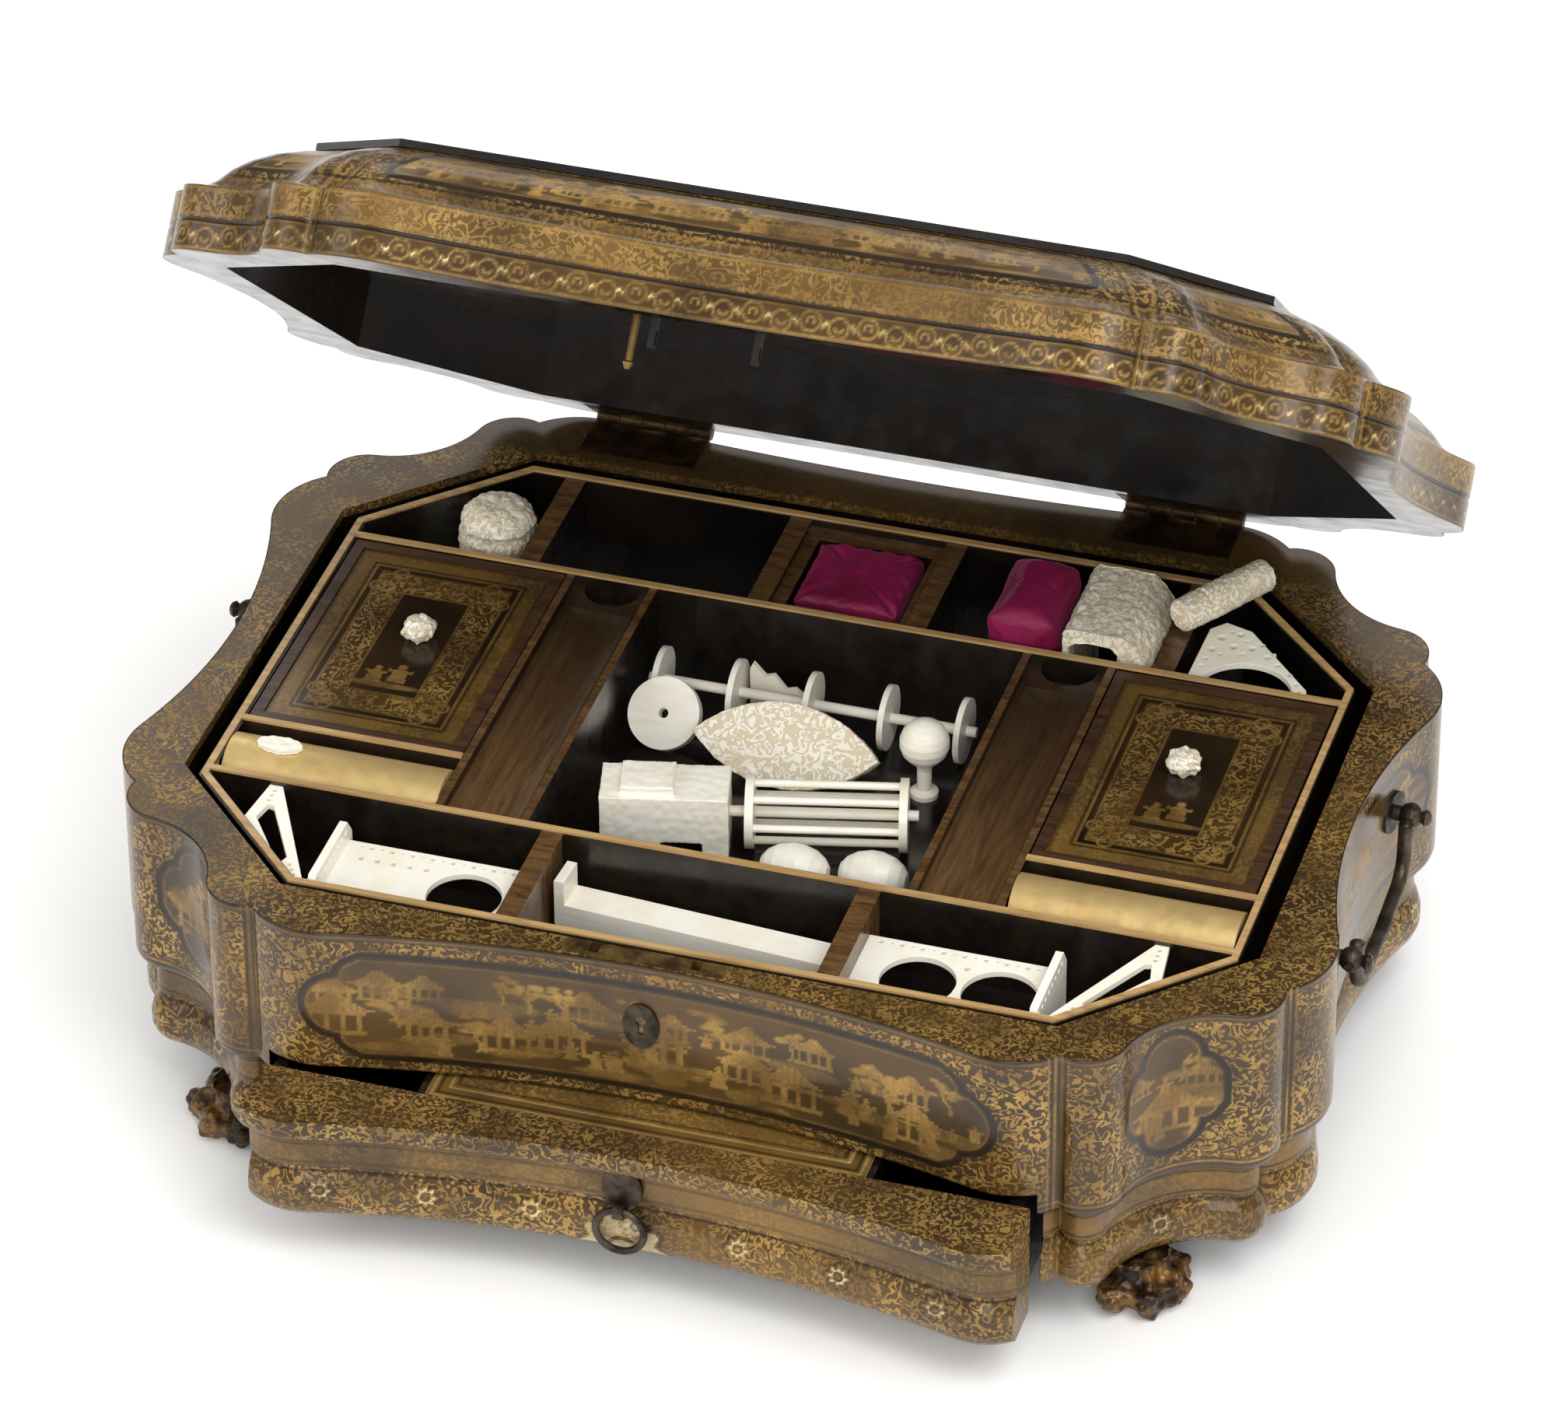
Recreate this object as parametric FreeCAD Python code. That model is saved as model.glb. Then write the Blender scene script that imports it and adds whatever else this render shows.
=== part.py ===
import FreeCAD, Part
import math
import os

# Lacquered sewing box with a hinged lid, a fitted lift-out tray and a shallow drawer.
# Millimetres. Origin on the floor under the middle of the case, +X right, +Y back, +Z up.
# Rest pose: lid part open, drawer part out, everything else as it hangs or lies.

# Case outline, seen from above: eight hollow sides, each between two round shoulders
CASE_WIDTH = 363.2          # over the shoulders of the two ends
CASE_DEPTH = 269.0          # twice the reach of the front shoulders from the middle of the inside
BACK_EXTRA = 3.5            # the back reaches this much further than the front
SHOULDER_R = 24.0           # shoulders of long sides and ends
LONG_CORNER = 79.6          # shoulder centres of a long side, in from the ends
END_CORNER = 73.2           # shoulder centres of an end, in from the long sides
LONG_HOLLOW = 12.3          # how far the middle of the front is drawn in
BACK_HOLLOW = 5.0
END_HOLLOW = 10.4
CANT_SHOULDER_R = 12.0      # smaller shoulders of the four canted corners
CANT_SPREAD = 24.4          # half the distance between their centres
CANT_OUT = 18.8             # their centres, outside the line of the big shoulders
CANT_HOLLOW = 7.8

# Inner octagon shared by the case and the lid
END_WALL = 20.3             # from the shoulders of an end to the octagon
LONG_WALL = 19.5
CAVITY_CANT = 46.5

# Heights of the case, from the floor up
FOOT_HEIGHT = 16.2
MOULD_HEIGHT = 16.6
BAND_HEIGHT = 10.7
WALL_HEIGHT = 55.5
RIM_THICK = 3.0
OVOLO_HEIGHT = 5.0          # rounded lower edge of the wall
GROOVE_INSET = 6.5          # bottom of the thin dark grooves
BAND_INSET = 5.6
BULGE_INSET = 3.3
SOLE_INSET = 5.6            # lower edge of the base moulding

BASE_Z = FOOT_HEIGHT
BAND_Z = BASE_Z + MOULD_HEIGHT
WALL_Z = BAND_Z + BAND_HEIGHT
RIM_Z = WALL_Z + WALL_HEIGHT
RIM_TOP = RIM_Z + RIM_THICK

# Boards inside the case
BASE_BOARD_THICK = 3.2
DUST_BOARD_THICK = 3.0
RUN_GAP = 0.3               # between pieces that slide or lift
SIDE_GAP = 0.5
GUIDE_WIDTH = 8.0
LEDGE_WIDTH = 10.0
LEDGE_THICK = 4.0

# Feet
FOOT_IN_X = 45.6            # middle of a foot, in from the ends and the long sides
FOOT_IN_Y = 34.5
FOOT_CORE_R = 11.0
TOE_R = 6.6
TOE_REACH = 11.5
TOE_FAN = 48.0              # degrees between toes
PAD_DROP = 1.2              # toes are cut flat this far up their curve

# Drawer
DRAWER_PAST = 12.0          # half width of its front, past the shoulder centres
DRAWER_TOP_RISE = 10.0      # its top edge, above the foot of the wall
DRAWER_HEAD_GAP = 0.7
DRAWER_FACE_IN = 4.1        # inner face of its front, in from the octagon
DRAWER_OUT = 26.0           # how far it stands out at rest
DRAWER_BACK_ROOM = 25.9     # behind the drawer when it is shut
DRAWER_SIDE = 4.0
DRAWER_SIDE_DROP = 1.0      # top of the sides, below the top of the front
DRAWER_SIDE_IN = 2.5        # outer face of a side, in from the end of the front
DRAWER_FLOOR_THICK = 3.0
DRAWER_FLOOR_RISE = 1.3
PARTITION_X = 65.7
PARTITION_THICK = 4.2
WRITING_BOARD_THICK = 3.0
WRITING_BOARD_LENGTH = 150.0
REBATE = 2.0

# Lock, on the front
LOCK_X = -4.5
LOCK_HALF_W = 24.0
LOCK_DEPTH = 5.0
LOCK_HEIGHT = 24.0
LOCK_SKIN = 1.0
LOCK_PLATE_THICK = 1.0
LOCK_PLATE_DEPTH = 6.4      # in front of the octagon
STAPLE_SPREAD = 15.0
STAPLE_DROP = 9.0
STAPLE_WIDE = 3.0
STAPLE_THICK = 1.8
STAPLE_GAP = 0.6
BOLT_THICK = 1.1
BOLT_HEIGHT = 3.0
BOLT_FINGER = 5.5
BOLT_SHY = 1.0              # fingers start this far short of the staples
ESCUTCHEON_Z = 81.0
ESCUTCHEON_HALF_W = 5.4
ESCUTCHEON_HALF_H = 7.8
ESCUTCHEON_THICK = 0.9
KEYHOLE_R = 1.7
KEYHOLE_DROP = 4.6

# Drawer pull
PULL_X = -4.0
PULL_Z = 32.6
PULL_RING_R = 7.2
PULL_WIRE_R = 1.1
PULL_STAND = 2.0            # ring's plane in front of the bulge
PULL_EYE_R = 2.6
PULL_EYE_LENGTH = 3.0
PULL_EYE_BORE = 1.5
PULL_PLATE_HALF_W = 6.0
PULL_PLATE_HALF_H = 7.5
PULL_PLATE_STAND = 1.6      # in front of the belt band

# Swing handles on the ends
POST_Y = 36.0
POST_Z = 82.0
POST_R = 2.3
POST_PLATE_R = 6.5
POST_PLATE_THICK = 1.2
POST_HEAD_IN = 1.0          # middle of the head, in from the shoulders
POST_HEAD_R = 3.8
POST_TIP_R = 2.6
BAIL_R = 2.2
BAIL_PIN_R = 1.4
BAIL_PIN_GAP = 0.08
BAIL_ARM_Y = 29.8
BAIL_DROP = 15.5
BAIL_SAG = 2.5

# Lid
LID_GAP = 0.4               # between rim and closed lid
LID_BAND_HEIGHT = 19.0
LID_CROWN_HEIGHT = 18.0
LID_CROWN_LEDGE = 2.0
LID_TOP_THICK = 2.2
LID_TOP_IN_X = 41.9         # top octagon, in from the ends and the long sides
LID_TOP_IN_Y = 28.8
LID_TOP_CANT = 35.3
LID_TOP_LIP = 1.2
LID_LINE = 9.0              # height of the dark line between the two bands
LID_LINE_DEPTH = 0.6
LID_LINING_THICK = 2.0
LID_VOID_INSET = 14.0
LID_OPEN = 41.6             # degrees open at rest
LID_PEG_X = -59.5
LID_PEG_Y = 6.0
LID_PEG_LENGTH = 20.0
LID_PEG_R = 1.3

# Lid hinges
HINGE_STAND = 2.0           # axis behind the back's shoulders
HINGE_IN = 17.5             # middle of a hinge, in from the shoulder centres
HINGE_HALF_LENGTH = 18.5
KNUCKLE_R = 2.2
KNUCKLE_CLEAR = 0.4
KNUCKLES = 5
KNUCKLE_SPLIT = 0.3
HINGE_PIN_R = 1.0
HINGE_PIN_GAP = 0.05
LEAF_THICK = 1.0
LEAF_DEEP = 20.0            # from the axis to the leaf's front edge

# Tray
TRAY_END_GAP = 5.3          # between the tray and the octagon
TRAY_FRONT_GAP = 1.6
TRAY_BACK_GAP = 6.7
TRAY_CANT_LESS = 4.1
TRAY_DEPTH = 28.0           # from its top to its floor
TRAY_FLOOR_THICK = 3.0
TRAY_WALL = 3.2
EDGING_THICK = 0.8
EDGING_WIDE = 2.0
DIVIDER_THICK = 2.4
FRONT_ROW = 43.1            # from the tray's inner front to the middle of the divider
BACK_ROW = 47.3
CROSS_THICK = 6.5
FRONT_CROSS_X = (-48.5, 46.8)
PAD_CROSS_X = (-26.7, 22.6)
CORNER_BAY = 57.0           # outer cross dividers of the back row, in from the tray's ends
WELL_HALF_W = 57.0
TROUGH_WIDE = 23.6
TROUGH_SINK = 4.0
TROUGH_THICK = 8.0
TROUGH_HOLLOW = 2.5
SCOOP_R = 8.5
SCOOP_DEPTH = 5.5
ROLL_SLOT = 26.1            # from the front divider to the front wall of the lidded bins
BIN_LEDGE = 2.5
BIN_LID_THICK = 3.2
BIN_LID_SINK = 1.0
BIN_LID_BORDER = 3.4
BIN_LID_RECESS = 0.7
ROLL_WALL = 2.4
ROLL_RISE = 1.0             # top of the gilt covers, above the tray
CLEAT_WIDE = 3.0
KNOB_IN = 1.6               # knobs, in from the middle of a bin
KNOB_BACK = 4.6             # and behind its middle
KNOB_SIZE = 12.0
KNOB_HEIGHT = 8.0
BUTTON_IN = 15.8            # in from the tray's inner end
BUTTON_HALF_W = 7.2
BUTTON_HALF_D = 3.6
BUTTON_STAND = 1.6

# Cushions
CUSHION_X0 = -19.0
CUSHION_X1 = 16.6
CUSHION_Y0 = 63.5
CUSHION_Y1 = 98.5
CUSHION_SINK = 3.0
CUSHION_BED = 7.0
CUSHION_BOARD = 2.0
CUSHION_CROWN = 2.4
BLOCK_X0 = 43.0
BLOCK_X1 = 65.5
BLOCK_FRONT_GAP = 2.0       # from the back divider
BLOCK_BACK_GAP = 10.1       # from the tray's inner back
BLOCK_RISE = 9.0            # above the tray's top

# Turned and carved tools
FRET_THICK = 2.0
FRET_SINK = 2.0
FRET_END = 19.0             # far tip of a front corner fret, in from the tray's end
BACK_FRET_IN = 7.0          # back fret, from the corner bay's cross divider
BACK_FRET_ARCH = 14.0
BACK_FRET_HOLE = 1.4
RACK_SINK = 8.0
RACK_DEEP = 30.7
RACK_END = 2.4
RACK_LENGTH = 55.0          # from the cross divider to the tall end
RACK_HOLE_R = 11.0
RACK_HOLE_IN = 14.2         # hole centres, from the tray's inner front
RACK_HOLES_LEFT = (14.5,)
RACK_HOLES_RIGHT = (19.0, 43.0)
BODKIN_LENGTH = 84.0
BODKIN_WIDE = 10.5
BODKIN_HEIGHT = 14.0
BODKIN_TAB = 8.0
BODKIN_TAB_THICK = 3.0
BODKIN_BACK = 14.6          # middle of the box, in front of the divider
BODKIN_TURN = -4.0          # degrees, seen from above
BOX_IN = 16.9               # round box, from the corner bay's cross divider
BOX_BACK = 24.1             # and from the tray's inner back
BOX_R = 12.6
BOX_BASE_HEIGHT = 18.0
BOX_LID_HEIGHT = 13.5
NEEDLE_SIDE = 57.5          # near end of the needle case, in from the tray's end
NEEDLE_BACK = 26.6          # and from the tray's inner back
NEEDLE_LENGTH = 35.4
NEEDLE_ANGLE = 56.5         # degrees from +X, seen from above
NEEDLE_R = 5.5
CLAMP_X = 67.0              # left face of the bench clamp
CLAMP_WIDE = 27.6
CLAMP_ARM = 10.6            # its thick carved arm
CLAMP_LEG = 2.6
CLAMP_HEIGHT = 34.5
CLAMP_MOUTH = 29.5
CLAMP_ROUND = 4.0
CLAMP_FRONT_GAP = 3.0       # from the back divider
CLAMP_BACK_GAP = 7.1        # from the tray's inner back
ROD_LEFT = (-53.0, 36.0)
ROD_RIGHT = (48.5, 36.5)
ROD_R = 1.6
ROD_DISC_R = 10.0
ROD_DISC_THICK = 1.8
ROD_DISCS = 5
SHUTTLE_HALF_L = 29.0
SHUTTLE_HALF_W = 13.0
SHUTTLE_THICK = 4.0
SHUTTLE_X = -3.0
SHUTTLE_Y = 12.0
LEAN = 50.0                 # degrees that leaning pieces are tipped up from the floor
DISC_X = -43.0
DISC_Y = 19.5
DISC_R = 11.0
DISC_THICK = 4.0
LEAF_LEFT = (-23.5, 42.0)
LEAF_RIGHT = (-4.5, 41.0)
LEAF_PLATE_THICK = 1.6
POST_TOOL = (38.5, 15.5)
POST_TOOL_BALL = 7.5
POST_TOOL_HEIGHT = 26.5
BARREL_AT = ((15.5, -40.0), (38.5, -37.0))
BARREL_R = 7.5
BARREL_HALF_L = 10.0
REEL_START = (-4.5, -23.0)
REEL_ANGLE = 14.0           # degrees from +X, seen from above
REEL_LENGTH = 47.5
REEL_DISC_R = 11.0
REEL_DISC_THICK = 2.5
REEL_BARS = 6
REEL_BAR_R = 1.2
REEL_BAR_CIRCLE = 8.4
REEL_AXLE_R = 1.6
REEL_AXLE_GAP = 0.08
REEL_STUB = 8.0
REEL_TIP = 3.0
BLOCK_GAP = 4.5             # between the reel and its clamp block
CLAMP_BLOCK_LENGTH = 38.0
CLAMP_BLOCK_DEEP = 18.0
CLAMP_BLOCK_HEIGHT = 22.0

# Sizes that follow
LONG_SHOULDER_X = CASE_WIDTH / 2 - LONG_CORNER
END_SHOULDER_Y = CASE_DEPTH / 2 - END_CORNER
BACK_Y = CASE_DEPTH / 2 + BACK_EXTRA
CAVITY_HALF_W = CASE_WIDTH / 2 - END_WALL
CAVITY_HALF_D = CASE_DEPTH / 2 - LONG_WALL
FOOT_X = CASE_WIDTH / 2 - FOOT_IN_X
FOOT_Y = CASE_DEPTH / 2 - FOOT_IN_Y
HINGE_X = LONG_SHOULDER_X - HINGE_IN
HINGE_Y = BACK_Y + HINGE_STAND
LEAF_FRONT = HINGE_Y - LEAF_DEEP
POST_HEAD_X = CASE_WIDTH / 2 - POST_HEAD_IN
LID_TOP_HALF_W = CASE_WIDTH / 2 - LID_TOP_IN_X
LID_TOP_HALF_D = (CASE_DEPTH + BACK_EXTRA) / 2 - LID_TOP_IN_Y
LID_TOP_MID_Y = BACK_EXTRA / 2
LOCK_PLATE_FRONT = CAVITY_HALF_D + LOCK_PLATE_DEPTH
DRAWER_HALF_W = LONG_SHOULDER_X + DRAWER_PAST
DRAWER_SIDE_X = DRAWER_HALF_W - DRAWER_SIDE_IN
DRAWER_BACK_FACE = CAVITY_HALF_D - DRAWER_FACE_IN
DRAWER_LENGTH = DRAWER_BACK_FACE + CAVITY_HALF_D - DRAWER_BACK_ROOM
TRAY_HALF_W = CAVITY_HALF_W - TRAY_END_GAP
TRAY_HALF_D = CAVITY_HALF_D - (TRAY_FRONT_GAP + TRAY_BACK_GAP) / 2
TRAY_MID_Y = (TRAY_FRONT_GAP - TRAY_BACK_GAP) / 2
TRAY_CANT = CAVITY_CANT - TRAY_CANT_LESS
HINGE_Z = RIM_TOP + LID_GAP / 2
LID_Z = RIM_TOP + LID_GAP
LID_CROWN_Z = LID_Z + LID_BAND_HEIGHT
LID_TOP_Z = LID_CROWN_Z + LID_CROWN_HEIGHT
DRAWER_TOP = WALL_Z + DRAWER_TOP_RISE
DRAWER_GAP_TOP = DRAWER_TOP + DRAWER_HEAD_GAP
DRAWER_GAP_HALF_W = DRAWER_HALF_W + SIDE_GAP
DRAWER_STOP_Y = -(DRAWER_BACK_FACE - RUN_GAP)
BASE_BOARD_TOP = BASE_Z + BASE_BOARD_THICK
DUST_Z = DRAWER_GAP_TOP + RUN_GAP
DUST_TOP = DUST_Z + DUST_BOARD_THICK
DRAWER_SIDE_Z = BASE_BOARD_TOP + RUN_GAP
DRAWER_SIDE_TOP = DRAWER_TOP - DRAWER_SIDE_DROP
TRAY_TOP = RIM_TOP
TRAY_FLOOR_TOP = TRAY_TOP - TRAY_DEPTH
TRAY_Z = TRAY_FLOOR_TOP - TRAY_FLOOR_THICK
LEDGE_Z = TRAY_Z - RUN_GAP - LEDGE_THICK
WALL_TOP_IN_TRAY = TRAY_TOP - EDGING_THICK
TRAY_FRONT = TRAY_MID_Y - TRAY_HALF_D + TRAY_WALL
TRAY_BACK = TRAY_MID_Y + TRAY_HALF_D - TRAY_WALL
TRAY_SIDE = TRAY_HALF_W - TRAY_WALL
FRONT_DIVIDER_Y = TRAY_FRONT + FRONT_ROW
BACK_DIVIDER_Y = TRAY_BACK - BACK_ROW
BIN_FRONT_Y = FRONT_DIVIDER_Y + ROLL_SLOT
CORNER_CROSS_X = TRAY_HALF_W - CORNER_BAY
BACK_CROSS_X = (-CORNER_CROSS_X,) + PAD_CROSS_X + (CORNER_CROSS_X,)
MIDDLE_FRONT = FRONT_DIVIDER_Y + DIVIDER_THICK / 2
MIDDLE_BACK = BACK_DIVIDER_Y - DIVIDER_THICK / 2
TROUGH_X0 = WELL_HALF_W + DIVIDER_THICK
TROUGH_X1 = TROUGH_X0 + TROUGH_WIDE
BIN_X0 = TROUGH_X1 + DIVIDER_THICK
BIN_FRONT = BIN_FRONT_Y + DIVIDER_THICK / 2
ROLL_END = BIN_FRONT_Y - DIVIDER_THICK / 2
ROLL_Y = (MIDDLE_FRONT + ROLL_END) / 2
ROLL_R = (ROLL_END - MIDDLE_FRONT) / 2 - SIDE_GAP
ROLL_Z = TRAY_TOP + ROLL_RISE - ROLL_R
KNOB_X = (BIN_X0 + TRAY_SIDE) / 2 - KNOB_IN
KNOB_Y = (BIN_FRONT + MIDDLE_BACK) / 2 + KNOB_BACK
BUTTON_X = -(TRAY_SIDE - BUTTON_IN)
BOX_X = -(CORNER_CROSS_X + BOX_IN)
BOX_Y = TRAY_BACK - BOX_BACK
ROW_BACK_Y = FRONT_DIVIDER_Y - DIVIDER_THICK / 2
REAR_ROW_Y = BACK_DIVIDER_Y + DIVIDER_THICK / 2
BLOCK_Y0 = REAR_ROW_Y + BLOCK_FRONT_GAP
BLOCK_Y1 = TRAY_BACK - BLOCK_BACK_GAP
CLAMP_Y0 = REAR_ROW_Y + CLAMP_FRONT_GAP
CLAMP_Y1 = TRAY_BACK - CLAMP_BACK_GAP
REEL_Z = TRAY_FLOOR_TOP + REEL_DISC_R + 1.0


def vec(x, y, z=0.0):
    return FreeCAD.Vector(x, y, z)


def block(x0, x1, y0, y1, z0, z1):
    return Part.makeBox(x1 - x0, y1 - y0, z1 - z0, vec(x0, y0, z0))


def rod(radius, start, end):
    return Part.makeCylinder(radius, (end - start).Length, start, end - start)


def ball(radius, centre):
    return Part.makeSphere(radius, centre)


def prism(points, z0, z1):
    """Upright prism on a closed outline of (x, y) corners."""
    corners = [vec(x, y, z0) for x, y in points]
    face = Part.Face(Part.makePolygon(corners + corners[:1]))
    return face.extrude(vec(0, 0, z1 - z0))


def octagon(half_w, half_d, cant, mid_y=0.0, inset=0.0):
    """Corners of a canted rectangle, drawn in by inset on every side."""
    w = half_w - inset
    d = half_d - inset
    c = cant - inset * (2 - math.sqrt(2))
    quarter = [(w - c, -d), (w, -d + c), (w, d - c), (w - c, d)]
    corners = quarter + [(-x, -y) for x, y in quarter]
    return [(x, y + mid_y) for x, y in corners]


def cavity(z0, z1, inset=0.0):
    return prism(octagon(CAVITY_HALF_W, CAVITY_HALF_D, CAVITY_CANT, 0.0, inset), z0, z1)


def tray_octagon(z0, z1, inset=0.0):
    return prism(octagon(TRAY_HALF_W, TRAY_HALF_D, TRAY_CANT, TRAY_MID_Y, inset), z0, z1)


def turned(profile, at, axis=None):
    """Solid turned from (height, radius) points, standing on at along axis."""
    points = [vec(radius, 0, height) for height, radius in profile]
    points = [vec(0, 0, profile[0][0])] + points + [vec(0, 0, profile[-1][0])]
    face = Part.Face(Part.makePolygon(points + points[:1]))
    solid = face.revolve(vec(0, 0, 0), vec(0, 0, 1), 360)
    if axis is not None:
        turn = FreeCAD.Rotation(vec(0, 0, 1), axis)
        solid.Placement = FreeCAD.Placement(vec(0, 0, 0), turn)
    solid.translate(at)
    return solid


def ellipse_rod(half_w, half_h, centre, length):
    """Rod along +Y from centre, with an upright ellipse as its section."""
    if half_h >= half_w:
        curve = Part.Ellipse(vec(0, 0, 0), half_h, half_w).toShape()
        curve.rotate(vec(0, 0, 0), vec(0, 0, 1), 90)
    else:
        curve = Part.Ellipse(vec(0, 0, 0), half_w, half_h).toShape()
    curve.rotate(vec(0, 0, 0), vec(1, 0, 0), 90)
    curve.translate(centre)
    return Part.Face(Part.Wire(curve)).extrude(vec(0, length, 0))


def group(solids):
    return Part.makeCompound(solids)


def shoulder_centres():
    """Shoulder centres in the back right quarter: long side, end, and the two of the cant."""
    long_side = vec(LONG_SHOULDER_X, CASE_DEPTH / 2 - SHOULDER_R)
    end = vec(CASE_WIDTH / 2 - SHOULDER_R, END_SHOULDER_Y)
    along = (end - long_side).normalize()
    outward = vec(-along.y, along.x)
    middle = (long_side + end) / 2 + outward * CANT_OUT
    return long_side, end, middle - along * CANT_SPREAD, middle + along * CANT_SPREAD


def case_sides():
    """The eight sides in order round the case: two shoulder centres, radius and hollow."""
    long_side, end, cant_a, cant_b = shoulder_centres()

    def at(p, sx, sy):
        return vec(p.x * sx, p.y * sy + (BACK_EXTRA if sy > 0 else 0.0))

    return [
        (at(long_side, -1, -1), at(long_side, 1, -1), SHOULDER_R, LONG_HOLLOW),
        (at(cant_a, 1, -1), at(cant_b, 1, -1), CANT_SHOULDER_R, CANT_HOLLOW),
        (at(end, 1, -1), at(end, 1, 1), SHOULDER_R, END_HOLLOW),
        (at(cant_b, 1, 1), at(cant_a, 1, 1), CANT_SHOULDER_R, CANT_HOLLOW),
        (at(long_side, 1, 1), at(long_side, -1, 1), SHOULDER_R, BACK_HOLLOW),
        (at(cant_a, -1, 1), at(cant_b, -1, 1), CANT_SHOULDER_R, CANT_HOLLOW),
        (at(end, -1, 1), at(end, -1, -1), SHOULDER_R, END_HOLLOW),
        (at(cant_b, -1, -1), at(cant_a, -1, -1), CANT_SHOULDER_R, CANT_HOLLOW),
    ]


def outer_meeting(a, radius_a, b, radius_b):
    """Where two shoulder circles meet, on the side away from the case's middle.

    Circles too small to reach each other give a point between them.
    """
    gap = (b - a).Length
    along = (b - a) / gap
    reach = (gap ** 2 + radius_a ** 2 - radius_b ** 2) / (2 * gap)
    rise = math.sqrt(max(0.0, radius_a ** 2 - reach ** 2))
    across = vec(-along.y, along.x) * rise
    foot = a + along * reach
    return max(foot + across, foot - across, key=lambda p: p.Length)


def shoulder_arc(centre, radius, start, end):
    middle = ((start - centre).normalize() + (end - centre).normalize()).normalize()
    return start, centre + middle * radius, end


def outline(inset=0.0):
    """Case outline drawn in by inset: 24 arcs, each as start, middle and end point."""
    sides = case_sides()
    notches = []
    for this, following in zip(sides, sides[1:] + sides[:1]):
        notches.append(outer_meeting(this[1], this[2] - inset, following[0], following[2] - inset))
    arcs = []
    for index, (first, second, radius, hollow) in enumerate(sides):
        along = (second - first).normalize()
        outward = vec(along.y, -along.x)
        half = (second - first).Length / 2
        hollow_r = half ** 2 / (2 * hollow) - radius + hollow / 2
        far = (first + second) / 2 + outward * (radius - hollow + hollow_r)
        leave = first + (far - first).normalize() * (radius - inset)
        meet = second + (far - second).normalize() * (radius - inset)
        waist = far - outward * (hollow_r + inset)
        arcs.append(shoulder_arc(first, radius - inset, notches[index - 1], leave))
        arcs.append((leave, waist, meet))
        arcs.append(shoulder_arc(second, radius - inset, meet, notches[index]))
    return arcs


def octagon_arcs(corners, arcs):
    """Straight-sided partner of the outline: each arc's points placed along an octagon's side."""
    result = []
    for side in range(8):
        start = arcs[3 * side][0]
        chord = arcs[3 * side + 2][2] - start
        a = vec(*corners[side - 1])
        b = vec(*corners[side])
        for arc in arcs[3 * side:3 * side + 3]:
            shares = [(p - start).dot(chord) / chord.Length ** 2 for p in arc]
            result.append(tuple(a + (b - a) * share for share in shares))
    return result


def mixed(arcs, others, share):
    return [tuple(p * (1 - share) + q * share for p, q in zip(a, b)) for a, b in zip(arcs, others)]


def wire(arcs, z, straight=False):
    edges = []
    for a, m, b in arcs:
        a, m, b = vec(a.x, a.y, z), vec(m.x, m.y, z), vec(b.x, b.y, z)
        edges.append((Part.LineSegment(a, b) if straight else Part.Arc(a, m, b)).toShape())
    return Part.Wire(edges)


def case_solid(levels):
    """Solid of the case outline through (z, inset) levels."""
    return Part.makeLoft([wire(outline(inset), z) for z, inset in levels], True, True)


def upright(z0, z1, inset=0.0):
    """Upright prism of the case outline."""
    return Part.Face(wire(outline(inset), z0)).extrude(vec(0, 0, z1 - z0))


def drawer_gap():
    y0 = -CASE_DEPTH / 2 - SHOULDER_R
    return block(-DRAWER_GAP_HALF_W, DRAWER_GAP_HALF_W, y0, DRAWER_STOP_Y, 0, DRAWER_GAP_TOP)


def mould_levels():
    top = BAND_Z
    shares = [(0.0, SOLE_INSET), (0.1, BULGE_INSET + 1.0), (0.26, BULGE_INSET), (0.5, BULGE_INSET),
              (0.7, BULGE_INSET + 0.9), (0.86, BULGE_INSET + 2.5), (0.94, GROOVE_INSET)]
    return [(BASE_Z + share * MOULD_HEIGHT, inset) for share, inset in shares] + [(top, GROOVE_INSET)]


def band_levels():
    lip = 0.5
    return [(BAND_Z, GROOVE_INSET), (BAND_Z + lip, BAND_INSET), (WALL_Z - lip, BAND_INSET),
            (WALL_Z, GROOVE_INSET)]


def wall_levels(top):
    rise = [(0.0, GROOVE_INSET), (0.14, 0.6 * GROOVE_INSET), (0.4, 0.28 * GROOVE_INSET),
            (0.7, 0.07 * GROOVE_INSET)]
    return [(WALL_Z + share * OVOLO_HEIGHT, inset) for share, inset in rise] + [
        (WALL_Z + OVOLO_HEIGHT, 0.0), (top, 0.0)]


def knuckle_clearance():
    """Rods round both hinge axes, wide enough for the knuckles to turn in."""
    rods = []
    for side in (-1, 1):
        start = vec(side * HINGE_X - HINGE_HALF_LENGTH - RUN_GAP, HINGE_Y, HINGE_Z)
        end = start + vec(2 * (HINGE_HALF_LENGTH + RUN_GAP), 0, 0)
        rods.append(rod(KNUCKLE_R + KNUCKLE_CLEAR, start, end))
    return rods


def leaf_recess(z0):
    return [block(side * HINGE_X - HINGE_HALF_LENGTH, side * HINGE_X + HINGE_HALF_LENGTH,
                  LEAF_FRONT, HINGE_Y, z0, z0 + LEAF_THICK) for side in (-1, 1)]


def lock_box(inset=0.0):
    """Outer block of the lock's case, drawn in by inset."""
    front = -CAVITY_HALF_D - LOCK_DEPTH
    return block(LOCK_X - LOCK_HALF_W + inset, LOCK_X + LOCK_HALF_W - inset, front + inset,
                 -CAVITY_HALF_D - inset, RIM_TOP - LOCK_PLATE_THICK - LOCK_HEIGHT + inset,
                 RIM_TOP - LOCK_PLATE_THICK - inset)


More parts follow.
